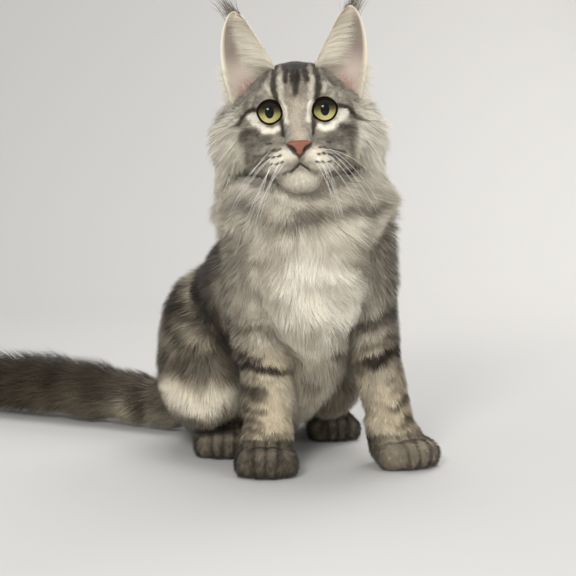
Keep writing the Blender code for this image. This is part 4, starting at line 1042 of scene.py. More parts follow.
    def _trunk(self, points: Array, shade: Array, share: dict) -> Array:
        """Grey sides with broken bands, and a dark line down the back."""
        heights = points[:, 2]
        yaw = np.radians(np.interp(heights, SPINE_HEIGHTS, SPINE_YAW))
        x = points[:, 0] - np.interp(heights, SPINE_HEIGHTS, SPINE_X)
        y = points[:, 1] - np.interp(heights, SPINE_HEIGHTS, SPINE_Y)
        lateral = x * np.cos(yaw) + y * np.sin(yaw)
        backward = y * np.cos(yaw) - x * np.sin(yaw)
        upper = share[Part.NAPE] | share[Part.FLANK]
        trunk = upper | share[Part.RUMP] | share[Part.HAUNCH_LEFT] | share[Part.HAUNCH_RIGHT]
        shade = shade - self.BACK_DARK * smooth_step(0.000, 0.030, backward) * upper
        axis = unit(np.array(RIBS.centre) - np.array(PELVIS.centre))
        along = (points - np.array(PELVIS.centre)) @ axis
        bend = 0.007 * NOISE.spread(points, 0.03) + 0.25 * np.maximum(lateral, 0) - 0.12 * backward
        wave = np.sin(2 * math.pi * (along + bend) / self.FLANK_STEP)
        hidden = smooth_step(-0.020, 0.020, backward + 0.30 * lateral) * trunk
        shade = shade - self.BAND_DARK * smooth_step(0.05, 0.7, wave) * hidden
        shade = shade + self.GAP_PALE * smooth_step(0.2, 0.9, -wave) * hidden
        stripe = (1 - smooth_step(0.006, 0.015, np.abs(lateral))) * smooth_step(0.0, 0.03, backward)
        return shade + (self.STRIPE_SHADE - shade) * self.STRIPE_SHARE * stripe * trunk

    def _leg(self, points: Array, normals: Array, shade: Array, part: Part, share: Array) -> Array:
        """Bands across the front and outside of a foreleg, whose inside is cream.

        Args:
            points: the places, with ragged edges.
            normals: the skin's normals there.
            shade: the shades so far.
            part: the leg.
            share: which places are on the leg.

        Returns:
            The shades with the leg's markings.
        """
        balls = (FORELEG_LEFT if part is Part.FORELEG_LEFT else FORELEG_RIGHT)[::-1]
        outward = 1.0 if part is Part.FORELEG_LEFT else -1.0
        axis = np.array([ball.centre for ball in balls])
        middle = np.interp(points[:, 2], axis[:, 2], axis[:, 0])
        out = outward * (points[:, 0] - middle) * 1000
        height = points[:, 2] * 1000
        behind = smooth_step(0.1, 0.7, normals[:, 1])
        low = 1 - smooth_step(78, 92, height)
        outer = smooth_step(1.0, 9.0, out + 2.5 * NOISE.spread(points, 0.01))
        base = self.CREAM + (self.OUTER_SHADE[part] - self.CREAM) * outer
        upper = self.UPPER_LEG[part] - self.LEG_OUTER_DARK * outer - self.LEG_BACK_DARK[0] * behind
        shade = shade + (upper + (base - upper) * low - shade) * share
        for band in self.BANDS[part]:
            reach = np.abs(height - self.BAND_SLOPE[part] * out - band.height)
            cover = band.strength * (1 - smooth_step(band.width * 0.5, band.width * 1.5, reach))
            inner = 0.45 + 0.55 * smooth_step(-14, -4, out)
            cover *= smooth_step(-2.0, 6.0, out) if band.outer_only else inner
            shade = shade + (band.shade - shade) * cover * share
        return shade - self.LEG_BACK_DARK[1] * behind * low * share

    def _feet(self, points: Array, normals: Array, shade: Array, share: Array) -> Array:
        """Brown-grey feet, with painted shade between the toes, faint rings and paler tops."""
        for name, foot in FEET.items():
            cos, sin = math.cos(math.radians(foot.heading)), math.sin(math.radians(foot.heading))
            across, ahead = points[:, 0] - foot.toes[0], points[:, 1] - foot.toes[1]
            x = across * cos + ahead * sin
            y = ahead * cos - across * sin
            here = share & (np.abs(x) < 0.04) & (y < foot.back) & (y > -0.03)
            # Painted shade in the gaps between the toes.
            gap = np.abs(x / foot.toe_step - np.round(x / foot.toe_step))
            between = 1 - smooth_step(0.03, 0.22, gap)
            between = between * (np.abs(x) < 1.5 * foot.toe_step) * (y < 0.012)
            shade = shade + (self.FOOT_PALE.get(name, 0.0) - self.TOE_GAP_PAINTED_SHADE * between) * here
        swirl = np.sin(NOISE.at(points, 0.012) * 14.0)
        shade = shade - self.FOOT_RING_DARK * smooth_step(0.2, 0.9, swirl) * share
        return shade + self.FOOT_TOP_PALE * smooth_step(0.2, 0.9, normals[:, 2]) * share

    def _tail(self, points: Array, normals: Array, shade: Array, share: Array) -> Array:
        """A dark upper side, a greyer lower side, and faint rings."""
        under = smooth_step(0.35, -0.45, normals[:, 2])
        near = smooth_step(-0.26, -0.15, points[:, 0])
        run = 2 * math.pi * points[:, 0] / self.TAIL_RING_STEP
        rings = smooth_step(0.0, 0.8, np.sin(run + 4 * NOISE.at(points, 0.03)))
        pale = self.TAIL_UNDER[0] * under + self.TAIL_UNDER[1] * under * near
        return shade + share * (pale - self.TAIL_RING_DARK * rings)

    def _face(self, points: Array) -> tuple[Array, Array]:
        """The shade and warmth of the head."""
        local = transformed(HEAD_FRAME.inverted(), points) * 1000
        local[:, 0] += 1.8 * NOISE.spread(points, 0.007)
        local[:, 2] += 1.8 * NOISE.spread(points + 1.7, 0.007)
        flat = np.stack([np.abs(local[:, 0]), local[:, 2]], axis=1)
        shade = self.FACE_SHADE + self.FACE_MOTTLE[0] * NOISE.spread(points, 0.005)
        cheek = smooth_step(40, 47, flat[:, 0]) * (1 - smooth_step(6, 22, local[:, 2]))
        shade = shade + self.CHEEK_PALE * cheek
        front = 1 - smooth_step(24, 40, local[:, 1])
        shade = self.BRIDGE.over(shade, flat, front)
        for stroke in self.FACE:
            shade = stroke.over(shade, flat, front)
        for x, z in self.SPOTS:
            line = ((x, z), (x + self.SPOT_RUN[0], z + self.SPOT_RUN[1]))
            spot = Stroke(line, self.SPOT_WIDTH, self.SPOT_SHADE, self.SPOT_STRENGTH)
            shade = spot.over(shade, flat, front)
        back = 1 - front
        stripes = smooth_step(0.0, 0.7, np.sin(local[:, 0] / 14.0 * 2 * math.pi + 1.5))
        skull = smooth_step(8, -30, local[:, 2])
        ground, dark, pale = self.SKULL_SHADES
        behind = ground - dark * stripes + pale * skull
        shade = shade + back * (behind - shade) * (1 - smooth_step(36, 50, flat[:, 0]))
        shade = shade + self.FACE_MOTTLE[1] * NOISE.spread(points + 4.4, 0.0032)
        return shade, self.FACE_WARMTH[0] + self.FACE_WARMTH[1] * self.BRIDGE.cover(flat)


# ---------------------------------------------------------------- coat


class Shading:
    """One material with its Principled shader, and short ways to add nodes and to join them."""

    def __init__(self, name: str) -> None:
        """Starts the material."""
        self.material = bpy.data.materials.new(name)
        self.material.use_nodes = True
        self.shader = self.material.node_tree.nodes["Principled BSDF"]

    def feed(self, node: Node, sockets: dict) -> None:
        """Sets inputs of a node to values, or joins them to outputs."""
        for name, value in sockets.items():
            if isinstance(value, NodeSocket):
                self.material.node_tree.links.new(value, node.inputs[name])
            else:
                node.inputs[name].default_value = value

    def add(self, kind: str, sockets: dict | None = None, **settings: object) -> Node:
        """Adds a node.

        Args:
            kind: its type, without the words that all types start with.
            sockets: its inputs, each with a value or with the output that feeds it.
            settings: its own settings.

        Returns:
            The node.
        """
        node = self.material.node_tree.nodes.new(f"ShaderNode{kind}")
        for name, value in settings.items():
            setattr(node, name, value)
        self.feed(node, sockets or {})
        return node

    def mix(
        self, share: NodeSocket, first: NodeSocket | tuple, second: NodeSocket | tuple, blend: str = "MIX"
    ) -> NodeSocket:
        """Lays one colour over another.

        Args:
            share: how much of the second colour shows.
            first: the colour below.
            second: the colour above.
            blend: how they mix.

        Returns:
            The mixed colour.
        """
        below, above = [(*value, 1.0) if isinstance(value, tuple) else value for value in (first, second)]
        sockets = {"Factor": share, "A": below, "B": above}
        return self.add("Mix", sockets, data_type="RGBA", blend_type=blend).outputs["Result"]

    def ramp(self, share: NodeSocket, stops: tuple) -> NodeSocket:
        """A colour that runs through stops, each a place from 0 to 1 and a colour."""
        node = self.add("ValToRGB", {"Fac": share})
        elements = node.color_ramp.elements
        while len(elements) < len(stops):
            elements.new(0.5)
        for element, (position, colour) in zip(elements, stops):
            element.position = position
            element.color = (*colour, 1.0)
        return node.outputs["Color"]

    def bump(self, strength: float, scale: float) -> None:
        """Gives the shader a fine bump of noise."""
        place = self.add("TexCoord").outputs["Object"]
        noise = self.add("TexNoise", {"Vector": place, "Scale": scale, "Detail": 3.0})
        sockets = {"Strength": strength, "Distance": 0.001, "Height": noise.outputs["Fac"]}
        self.feed(self.shader, {"Normal": self.add("Bump", sockets).outputs["Normal"]})


@dataclass(frozen=True)
class FurFinish:
    """The colours of the fur, its gloss, and how much one hair differs from the next."""

    name: str
    stops: tuple = (
        (0.00, (0.016, 0.012, 0.009)),
        (0.25, (0.078, 0.067, 0.054)),
        (0.50, (0.270, 0.245, 0.203)),
        (0.75, (0.600, 0.562, 0.482)),
        (1.00, (0.940, 0.925, 0.850)),
    )
    warm: tuple = (1.12, 0.99, 0.74)
    roughness: float = 0.60
    sheen: float = 0.12
    sheen_roughness: float = 0.4
    specular: float = 0.22
    variation: float = 0.11
    bump: float = 0.0
    grain: float = 900.0

    def material(self) -> Material:
        """The material, which reads the shade, warmth and chance of each point."""
        made = Shading(self.name)
        read = made.add("Attribute", attribute_name="coat")
        split = made.add("SeparateColor", {"Color": read.outputs["Color"]})
        shade = made.ramp(split.outputs["Red"], self.stops)
        tint = made.mix(split.outputs["Green"], shade, self.warm, "MULTIPLY")
        limits = {"To Min": 1.0 - self.variation, "To Max": 1.0 + self.variation}
        vary = made.add("MapRange", {"Value": read.outputs["Alpha"], **limits})
        scaled = made.add("VectorMath", {0: tint, "Scale": vary.outputs["Result"]}, operation="SCALE")
        made.feed(made.shader, {
            "Base Color": scaled.outputs["Vector"],
            "Roughness": self.roughness,
            "Sheen Weight": self.sheen,
            "Sheen Roughness": self.sheen_roughness,
            "Specular IOR Level": self.specular,
        })
        if self.bump:
            made.bump(self.bump, self.grain)
        return made.material


@dataclass(frozen=True)
class PlainFinish:
    """A finish whose colour varies a little between two, with a fine bump."""

    name: str
    colour: tuple
    other: tuple
    roughness: float
    coat: float = 0.0
    subsurface: float = 0.0
    bump: float = 0.2
    grain: float = 500.0
    specular: float = 0.5

    def shading(self, *layers: tuple) -> Shading:
        """The material, with the second colour where a soft noise is high.

        Args:
            layers: the colours over it, each with the name of a stored value that says where it shows,
                and which part of that value, if it has parts.

        Returns:
            The material and its shader.
        """
        made = Shading(self.name)
        place = made.add("TexCoord").outputs["Object"]
        noise = made.add("TexNoise", {"Vector": place, "Scale": self.grain * 0.25})
        colour = made.mix(noise.outputs["Fac"], self.colour, self.other)
        for name, part, over in layers:
            read = made.add("Attribute", attribute_name=name)
            share = read.outputs[part] if part in read.outputs else made.add(
                "SeparateColor", {"Color": read.outputs["Color"]}).outputs[part]
            colour = made.mix(share, colour, over)
        made.feed(made.shader, {
            "Base Color": colour,
            "Roughness": self.roughness,
            "Coat Weight": self.coat,
            "Coat Roughness": 0.15,
            "Specular IOR Level": self.specular,
            "Subsurface Weight": self.subsurface,
            "Subsurface Radius": (0.6, 0.25, 0.15),
            "Subsurface Scale": 0.004,
        })
        made.bump(self.bump, self.grain)
        return made

    def material(self) -> Material:
        """The material without layers."""
        return self.shading().material


@dataclass
class Tufts:
    """Tufts of fur as arrays: their paths, the way their flat sides face, their widths and colours."""

    paths: Array
    ups: Array
    widths: Array
    shades: Array
    warmths: Array
    roots: Array
    normals: Array
    # How much darker the roots are, as painted shade for depth, and how much paler the tips.
    painted_root_shade_pale_tip: float = 0.06
    patch: float = 0.003
    softness: float = 0.68

    def mesh(self, name: str, finish: Material, rng: Generator) -> Object:
        """Makes one object of all the tufts, shaded softly, as the skin under them would be.

        Args:
            name: the object's name.
            finish: its material.
            rng: the source of each tuft's own chance.

        Returns:
            The object, with its colours and its OFBake map.
        """
        count, stations, _ = self.paths.shape
        corners = 2 * (stations - 1) + 1
        along = np.gradient(self.paths, axis=1)
        across = unit(np.cross(self.ups, along))
        profile = np.interp(np.linspace(0, 1, stations), (0.0, 0.35, 0.75, 1.0), (0.75, 1.0, 0.72, 0.0))
        half = self.widths[:, None, None] / 2 * profile[None, :, None]
        points = np.empty((count, corners, 3))
        points[:, 0:-1:2] = (self.paths - across * half)[:, :-1]
        points[:, 1:-1:2] = (self.paths + across * half)[:, :-1]
        points[:, -1] = self.paths[:, -1]
        points[:, :, 2] = np.maximum(points[:, :, 2], FLOOR_CLEARANCE)
        pattern = []
        for step in range(stations - 2):
            low = 2 * step
            pattern += [(low, low + 3, low + 1), (low, low + 2, low + 3)]
        pattern.append((corners - 3, corners - 1, corners - 2))
        triangles = (np.arange(count)[:, None, None] * corners + np.array(pattern)[None]).reshape(-1, 3)
        shares = np.repeat(np.linspace(0, 1, stations), 2)[:-1]
        chance = rng.random(count)
        colour = np.empty((count, corners, 4), dtype=np.float32)
        # Darker towards the root as painted shade for depth, paler towards the tip.
        colour[:, :, 0] = self.shades[:, None] + self.painted_root_shade_pale_tip * (shares[None] - 0.4)
        colour[:, :, 1] = self.warmths[:, None]
        colour[:, :, 2] = shares[None]
        colour[:, :, 3] = chance[:, None]
        sides = np.tile((0.0, 1.0), stations)[:corners]
        patch = np.stack([sides, shares], axis=1) * self.patch - self.patch / 2
        centre = Unwrap(self.roots).at(self.roots, self.normals)
        maps = (centre[:, None] + patch[None]).reshape(-1, 2)
        item = mesh_object(name, points.reshape(-1, 3), triangles, finish)
        paint(item.data, np.clip(colour, 0.0, 1.0).reshape(-1, 4))
        layer = item.data.uv_layers.new(name="OFBake")
        layer.data.foreach_set("uv", maps[triangles.ravel()].ravel().astype(np.float32))
        facing = unit(self.ups * (1 - self.softness) + self.normals[:, None] * self.softness)
        facing = np.repeat(facing, 2, axis=1)[:, :-1].reshape(-1, 3)
        item.data.normals_split_custom_set_from_vertices(facing)
        return item


class Unwrap:
    """Lays a piece of the skin out flat: one cell for each of the six ways that its surface may face."""

    COLUMNS = 3
    ROWS = 2
    MARGIN = 0.012

    def __init__(self, points: Array) -> None:
        """Takes the piece's points, for its size."""
        self.low = points.min(axis=0)
        self.size = np.maximum(points.max(axis=0) - self.low, 1e-6)

    def at(self, points: Array, normals: Array) -> Array:
        """The place of each point on the map.

        Args:
            points: places on the skin.
            normals: the skin's normals there.

        Returns:
            One pair of coordinates from 0 to 1 for each place.
        """
        axis = np.abs(normals).argmax(axis=1)
        rows = np.arange(len(points))
        positive = normals[rows, axis] > 0
        share = (points - self.low) / self.size
        first = share[rows, (axis + 1) % 3]
        second = share[rows, (axis + 2) % 3]
        cell = np.array((1 / self.COLUMNS, 1 / self.ROWS))
        inner = cell - 2 * self.MARGIN
        corner = np.stack([axis * cell[0], positive * cell[1]], axis=1) + self.MARGIN
        return corner + np.stack([first, second], axis=1) * inner


def mesh_object(name: str, points: Array, triangles: Array, finish: Material) -> Object:
    """Makes an object from arrays of points and triangles.

    Args:
        name: the object's name.
        points: the points, one a row.
        triangles: three indices a row.
        finish: its material.

    Returns:
        The object, shaded smooth.
    """
    mesh = bpy.data.meshes.new(name)
    mesh.vertices.add(len(points))
    mesh.vertices.foreach_set("co", points.astype(np.float32).ravel())
    mesh.loops.add(triangles.size)
    mesh.loops.foreach_set("vertex_index", triangles.astype(np.int32).ravel())
    mesh.polygons.add(len(triangles))
    mesh.polygons.foreach_set("loop_start", np.arange(0, triangles.size, 3, dtype=np.int32))
    mesh.update(calc_edges=True)
    mesh.shade_smooth()
    mesh.materials.append(finish)
    return linked(name, mesh)


def paint(mesh: Mesh, colours: Array) -> None:
    """Stores the shade, warmth, place along the hair and chance of each point."""
    layer = mesh.attributes.new("coat", "FLOAT_COLOR", "POINT")
    layer.data.foreach_set("color", colours.astype(np.float32).ravel())


@dataclass(frozen=True)
class Growth:
    """How one piece of coat grows.

    It has the part that it covers, the number of tufts, their length and width (a fixed size and a share
    of the coat's depth that is added), their height, how strongly they gather, in groups of how many, how
    they stray and sway, how they curl, how much darker the roots are, as painted shade, and paler the tips,
    its slot, and whether they are long enough to follow the skin round the body.
    """

    part: Part
    count: int
    length: tuple
    width: tuple
    height: tuple
    gather: float
    group: int
    stray: float
    sway: float
    curl: float
    tip: float
    slot: str = "grey_coat"
    follow: bool = True


FORELEG_GROWTH = Growth(Part.FORELEG_RIGHT, 27000, (0.0045, 0.80), (0.00034, 0.0), (0.35, 1.1), 0.18, 10,
                        0.20, 0.25, 0.0, 0.06, "pale_coat", False)


class Coat:
    """Grows the tufts of the whole coat over the skin."""

    # The place of each row seeds its random draws.
    GROWTHS = (
        Growth(Part.FACE, 63000, (0.002, 0.5), (0.00026, 0.020), (0.40, 1.0), 0.12, 8,
               0.13, 0.15, 0.0, 0.04, "face_coat", False),
        Growth(Part.CROWN, 30000, (0.005, 1.0), (0.00034, 0.008), (0.50, 1.6), 0.22, 12,
               0.15, 0.25, 0.04, 0.06, "face_coat"),
        Growth(Part.RUFF, 64000, (0.009, 0.72), (0.00030, 0.004), (0.30, 1.0), 0.36, 34,
               0.17, 0.75, 0.16, 0.12, "pale_coat"),
        Growth(Part.NAPE, 28000, (0.010, 0.80), (0.00048, 0.006), (0.35, 1.0), 0.32, 22,
               0.16, 0.40, 0.08, 0.12),
        Growth(Part.BIB, 52000, (0.009, 0.85), (0.00030, 0.004), (0.30, 1.0), 0.36, 34,
               0.17, 0.60, 0.14, 0.10, "pale_coat"),
        Growth(Part.FLANK, 30000, (0.009, 0.90), (0.00044, 0.006), (0.40, 1.1), 0.30, 22,
               0.18, 0.35, 0.06, 0.12),
        Growth(Part.RUMP, 30000, (0.009, 0.90), (0.00050, 0.0), (0.40, 1.1), 0.30, 22,
               0.18, 0.35, 0.06, 0.12),
        Growth(Part.HAUNCH_RIGHT, 35000, (0.008, 0.95), (0.00040, 0.0), (0.35, 1.05), 0.30, 26,
               0.18, 0.45, 0.10, 0.12),
        Growth(Part.HAUNCH_LEFT, 20000, (0.008, 0.90), (0.00048, 0.0), (0.35, 1.05), 0.28, 20,
               0.18, 0.35, 0.06, 0.12),
        FORELEG_GROWTH,
        replace(FORELEG_GROWTH, part=Part.FORELEG_LEFT),
        Growth(Part.PAWS, 30000, (0.0036, 0.60), (0.00034, 0.0), (0.40, 1.0), 0.18, 8,
               0.22, 0.25, 0.0, 0.06, "paw_coat", False),
        Growth(Part.TAIL, 46000, (0.014, 1.20), (0.00042, 0.0), (0.35, 1.35), 0.25, 26,
               0.22, 0.40, 0.08, 0.04, "dark_coat"),
    )
    STATIONS = 3
    ROOT_SUNK = 0.0006
    BARE_LIDS = 1.12
    LID_CLEAR = 1.10
    LIP_CLEAR = 0.0006
    NOSE_OUTLINE = ((-0.0055, -0.0255), (0.0055, -0.0255), (0.0, -0.0325), (-0.0055, -0.0255))
    NOSE_CLEAR = 0.0026
    NOSE_FRONT = -0.025
    GROUP_SHADE = 0.045
    HAIR_SHADE = 0.025
    SWAY_SCALES = (0.028, 0.011)
    SWAY_TURN = 2.2
    OUTER_SHARE = 0.7
    LENGTH_BY_LAYER = (0.70, 0.35)
    LENGTH_CHANCE = (0.85, 1.12)
    WIDTH_CHANCE = (0.75, 1.25)
    ROLL = 0.45
    RISE = 1.7
    LIE_SHARE = 0.55

    def __init__(self, skin: Skin, field_: CoatField, markings: Markings, stand: Stand) -> None:
        """Keeps what the tufts grow from, and which part each triangle of the skin belongs to."""
        self.skin = skin
        self.field = field_
        self.markings = markings
        self.stand = stand
        weights = field_.weights(skin.middles)
        self.owners = field_.part_index(skin.middles, weights)
        self.finish = FurFinish("fur").material()

    def grow(self) -> None:
        """Grows every piece of the coat."""
        for seed, growth in enumerate(self.GROWTHS):
            rng = default_rng(100 + seed)
            tufts = self._tufts(growth, rng)
            self.stand.place(tufts.mesh(f"coat_{growth.part.value}", self.finish, rng), growth.slot)

    def _roots(self, growth: Growth, rng: Generator) -> tuple[Array, Array]:
        """Even random places on the skin of the piece, with the skin's normals there."""
        chosen = self.owners == list(Part).index(growth.part)
        chosen &= self.skin.middles[:, 2] > 2.5 * FLOOR_CLEARANCE
        chosen &= ~self._bare()
        faces = np.flatnonzero(chosen)
        total = np.cumsum(self.skin.areas[faces])
        picks = (np.arange(growth.count) + rng.random(growth.count)) / growth.count * total[-1]
        triangles = self.skin.triangles[faces[np.searchsorted(total, picks)]]
        rng.shuffle(triangles)
        u = np.sqrt(rng.random((growth.count, 1)))
        v = rng.random((growth.count, 1))
        shares = np.stack([1 - u, u * (1 - v), u * v], axis=1)
        points = (self.skin.points[triangles] * shares).sum(axis=1)
        normals = unit((self.skin.normals[triangles] * shares).sum(axis=1))
        return points, normals

    def _bare(self) -> Array:
        """Which triangles of the skin carry no fur: the sockets, the nose and the lips."""
        bare = np.zeros(len(self.skin.middles), dtype=bool)
        for side in Side:
            local = transformed(eye_frame(side).inverted(), self.skin.middles)
            bare |= (lid_measure(local, side) < self.BARE_LIDS) & (local[:, 2] > 0)
        local = transformed(HEAD_FRAME.inverted(), self.skin.middles)
        nose = path_distance(local[:, ::2], np.array(self.NOSE_OUTLINE))
        bare |= (nose < self.NOSE_CLEAR) & (local[:, 1] < self.NOSE_FRONT)
        lips = np.min([path_distance(local[:, ::2], route) for route in mouth_routes()[1:]], axis=0)
        return bare | ((lips < self.LIP_CLEAR) & (local[:, 1] < 0.0))

    def _clear(self, paths: Array) -> Array:
        """Which tufts stay clear of the eyes."""
        clear = np.ones(len(paths), dtype=bool)
        for side in Side:
            local = transformed(eye_frame(side).inverted(), paths.reshape(-1, 3))
            near = (lid_measure(local, side) < self.LID_CLEAR) & (local[:, 2] > 0)
            clear &= ~near.reshape(paths.shape[:2]).any(axis=1)
        return clear

    def _tufts(self, growth: Growth, rng: Generator) -> Tufts:
        """Grows the tufts of one piece."""
        roots, normals = self._roots(growth, rng)
        weights = self.field.weights(roots)
        depth = self.field.depth(roots, weights)
        lie = self.field.lie(roots, normals, weights)
        shade, warmth = self.markings.at(roots, normals, weights)
        wide, fine = self.SWAY_SCALES
        sway = NOISE.at(roots + 5.0, wide) + 0.35 * NOISE.at(roots + 9.0, fine) - 0.675
        turn = self.SWAY_TURN * growth.sway * sway + rng.normal(0, growth.stray, len(roots))
        lie = unit(lie * np.cos(turn)[:, None] + np.cross(normals, lie) * np.sin(turn)[:, None])
        layer = rng.random(len(roots)) ** self.OUTER_SHARE
        low, high = growth.height
        heights = depth * (low + (high - low) * layer)
        lengths = self.field.head_length(roots, weights, growth.length[0] + growth.length[1] * depth)
        lengths *= self.LENGTH_BY_LAYER[0] + self.LENGTH_BY_LAYER[1] * layer
        lengths *= rng.uniform(*self.LENGTH_CHANCE, len(roots))
        paths, ups = self._lay(roots, normals, lie, lengths, heights, growth.follow)
        if growth.curl:
            paths = self._curl(paths, ups, lengths, growth, rng)
        paths, leaders = self._gather(paths, roots, growth)
        roll = rng.normal(0, self.ROLL, len(roots))
        along = unit(np.gradient(paths, axis=1))
        across = unit(np.cross(ups, along))
        ups = unit(ups * np.cos(roll)[:, None, None] + across * np.sin(roll)[:, None, None])
        widths = growth.width[0] + growth.width[1] * depth
        widths = widths * rng.uniform(*self.WIDTH_CHANCE, len(roots))
        shade = shade + rng.normal(0, self.GROUP_SHADE, len(roots))[leaders]
        shade = shade + rng.normal(0, self.HAIR_SHADE, len(roots))
        kept = self._clear(paths)
        made = [part[kept] for part in (paths, ups, widths, shade, warmth, roots, normals)]
        return Tufts(*made, painted_root_shade_pale_tip=growth.tip)

    def _lay(
        self, roots: Array, normals: Array, lie: Array, lengths: Array, heights: Array, follow: bool
    ) -> tuple[Array, Array]:
        """Lays tufts along the body.

        Args:
            roots: where they start.
            normals: the skin's normals there.
            lie: the way each lies.
            lengths: how long each is.
            heights: how high its tip is over the skin.
            follow: whether they follow the skin round the body.

        Returns:
            The paths, and the way out of the body at each of their places.
        """
        place = roots - normals * self.ROOT_SUNK
        paths = [place]
        ups = [normals]
        heading = lie
        step = (lengths / (self.STATIONS - 1))[:, None]
        for station in range(1, self.STATIONS):
            share = station / (self.STATIONS - 1)
            target = (heights * (1 - (1 - share) ** self.RISE))[:, None]
            ahead = place + heading * step
            if follow:
                near, out = self._nearest(ahead)
            else:
                near = ahead - normals * dot(ahead - roots, normals)
                out = normals
            wanted = near + out * target
            heading = unit(wanted - place)
            place = place + heading * step
            paths.append(place)
            ups.append(out)
            flat = unit(lie - out * dot(lie, out))
            heading = unit((1 - self.LIE_SHARE) * heading + self.LIE_SHARE * flat)
        return np.stack(paths, axis=1), np.stack(ups, axis=1)

    def _nearest(self, points: Array) -> tuple[Array, Array]:
        """The nearest place of the skin to each point, and its normal there."""
        found = [self.skin.tree.find_nearest(point)[:2] for point in points.tolist()]
        near = np.array([(place.x, place.y, place.z) for place, _ in found])
        out = np.array([(normal.x, normal.y, normal.z) for _, normal in found])
        return near, out

    @staticmethod
    def _curl(
        paths: Array, ups: Array, lengths: Array, growth: Growth, rng: Generator
    ) -> Array:
        """Bends tufts from side to side, alike where they are neighbours."""
        shares = np.linspace(0, 1, paths.shape[1])
        along = unit(np.gradient(paths, axis=1))
        across = unit(np.cross(ups, along))
        phase = 2 * math.pi * NOISE.at(paths[:, 0] + 2.0, 0.014) + rng.normal(0, 0.4, len(paths))
        wave = np.sin(phase[:, None] + shares[None] * 4.5) - np.sin(phase)[:, None]
        reach = growth.curl * lengths[:, None] * shares[None] * wave
        return paths + across * reach[:, :, None]

    @staticmethod
    def _gather(paths: Array, roots: Array, growth: Growth) -> tuple[Array, Array]:
        """Draws the tips of neighbouring tufts together into locks, and tells which tuft leads each."""
        leaders = np.arange(0, len(roots), growth.group)
        tree = KDTree(len(leaders))
        for index, leader in enumerate(leaders):
            tree.insert(roots[leader], index)
        tree.balance()
        owner = leaders[[tree.find(root)[1] for root in roots.tolist()]]
        pull = growth.gather * np.linspace(0, 1, paths.shape[1]) ** 1.4
        return paths + (paths[owner] - paths) * pull[None, :, None], owner


# ---------------------------------------------------------------- eyes, lids and nose


@dataclass(frozen=True)
class EyeFinish:
    """A wet eye: a yellow-green iris with fine spokes, the upper lid's shadow painted over its top, an
    upright pupil and a dark rim.
    """

    name: str = "wet_eye"
    # The iris's colour from below to above: its top is darkened as painted shadow of the upper lid.
    iris_and_lid_shadow: tuple = (
        (0.00, (0.60, 0.54, 0.24)),
        (0.38, (0.36, 0.33, 0.12)),
        (0.70, (0.08, 0.064, 0.022)),
        (1.00, (0.008, 0.006, 0.004)),
    )
    # The heights, in millimetres up the eye, over which the iris runs from bright into the painted lid
    # shadow.
    lid_shadow_heights: tuple = (-7.0, 3.6)
    iris_radius: float = 0.0100
    iris_edge: tuple = (0.84, 0.99)
    spoke: tuple = (0.050, 0.042, 0.012)
    spoke_scale: float = 15.0
    spoke_range: tuple = (0.45, 0.75)
    spoke_share: float = 0.32
    rim: tuple = (0.016, 0.012, 0.008)
    pupil: tuple = (0.004, 0.004, 0.005)
    pupil_half: tuple = (0.0036, 0.0050)
    pupil_edge: tuple = (0.90, 1.06)

    def material(self) -> Material:
        """The material, drawn in the eye's own frame, which each point holds as "gaze" in millimetres."""
        made = Shading(self.name)
        gaze = made.add("Attribute", attribute_name="gaze").outputs["Vector"]
        rim = self._outside(made, gaze, (self.iris_radius, self.iris_radius), self.iris_edge)
        pupil = self._outside(made, gaze, self.pupil_half, self.pupil_edge)
        rimmed = made.mix(rim, self._iris_with_lid_shadow(made, gaze), self.rim)
        made.feed(made.shader, {
            "Base Color": made.mix(pupil, self.pupil, rimmed),
            "Roughness": 0.5,
            "Specular IOR Level": 0.03,
            "Coat Weight": 0.4,
            "Coat Roughness": 0.03,
            "Coat IOR": 1.45,
        })
        return made.material

    @staticmethod
    def _outside(made: Shading, gaze: NodeSocket, half: tuple, edge: tuple) -> NodeSocket:
        """A share that runs from 0 inside an oval to 1 outside it.

        Args:
            made: the material.
            gaze: the place in the eye's own frame.
            half: the oval's half sizes.
            edge: where its soft edge starts and ends, as shares of them.

        Returns:
            The share.
        """
        shares = (0.001 / half[0], 0.001 / half[1], 0.0)
        scaled = made.add("VectorMath", {0: gaze, 1: shares}, operation="MULTIPLY")
        length = made.add("VectorMath", {0: scaled.outputs["Vector"]}, operation="LENGTH")
        sockets = {"Value": length.outputs["Value"], "From Min": edge[0], "From Max": edge[1]}
        return made.add("MapRange", sockets, interpolation_type="SMOOTHSTEP").outputs["Result"]

    def _iris_with_lid_shadow(self, made: Shading, gaze: NodeSocket) -> NodeSocket:
        """The iris: yellow-green below, with the upper lid's shadow painted in as a darkening towards the
        top, and spokes out from the pupil.
        """
        split = made.add("SeparateXYZ", {"Vector": gaze}).outputs
        low, high = self.lid_shadow_heights
        # The iris darkens towards the top: painted shadow of the upper lid.
        lift = made.add("MapRange", {"Value": split["Y"], "From Min": low, "From Max": high})
        shade = made.ramp(lift.outputs["Result"], self.iris_and_lid_shadow)
        angle = made.add("Math", {0: split["Y"], 1: split["X"]}, operation="ARCTAN2").outputs["Value"]
        grain = {"W": angle, "Scale": self.spoke_scale, "Detail": 4.0}
        spokes = made.add("TexNoise", grain, noise_dimensions="1D").outputs["Fac"]
        low, high = self.spoke_range
        sockets = {"Value": spokes, "From Min": low, "From Max": high, "To Max": self.spoke_share}
        return made.mix(made.add("MapRange", sockets).outputs["Result"], shade, self.spoke)


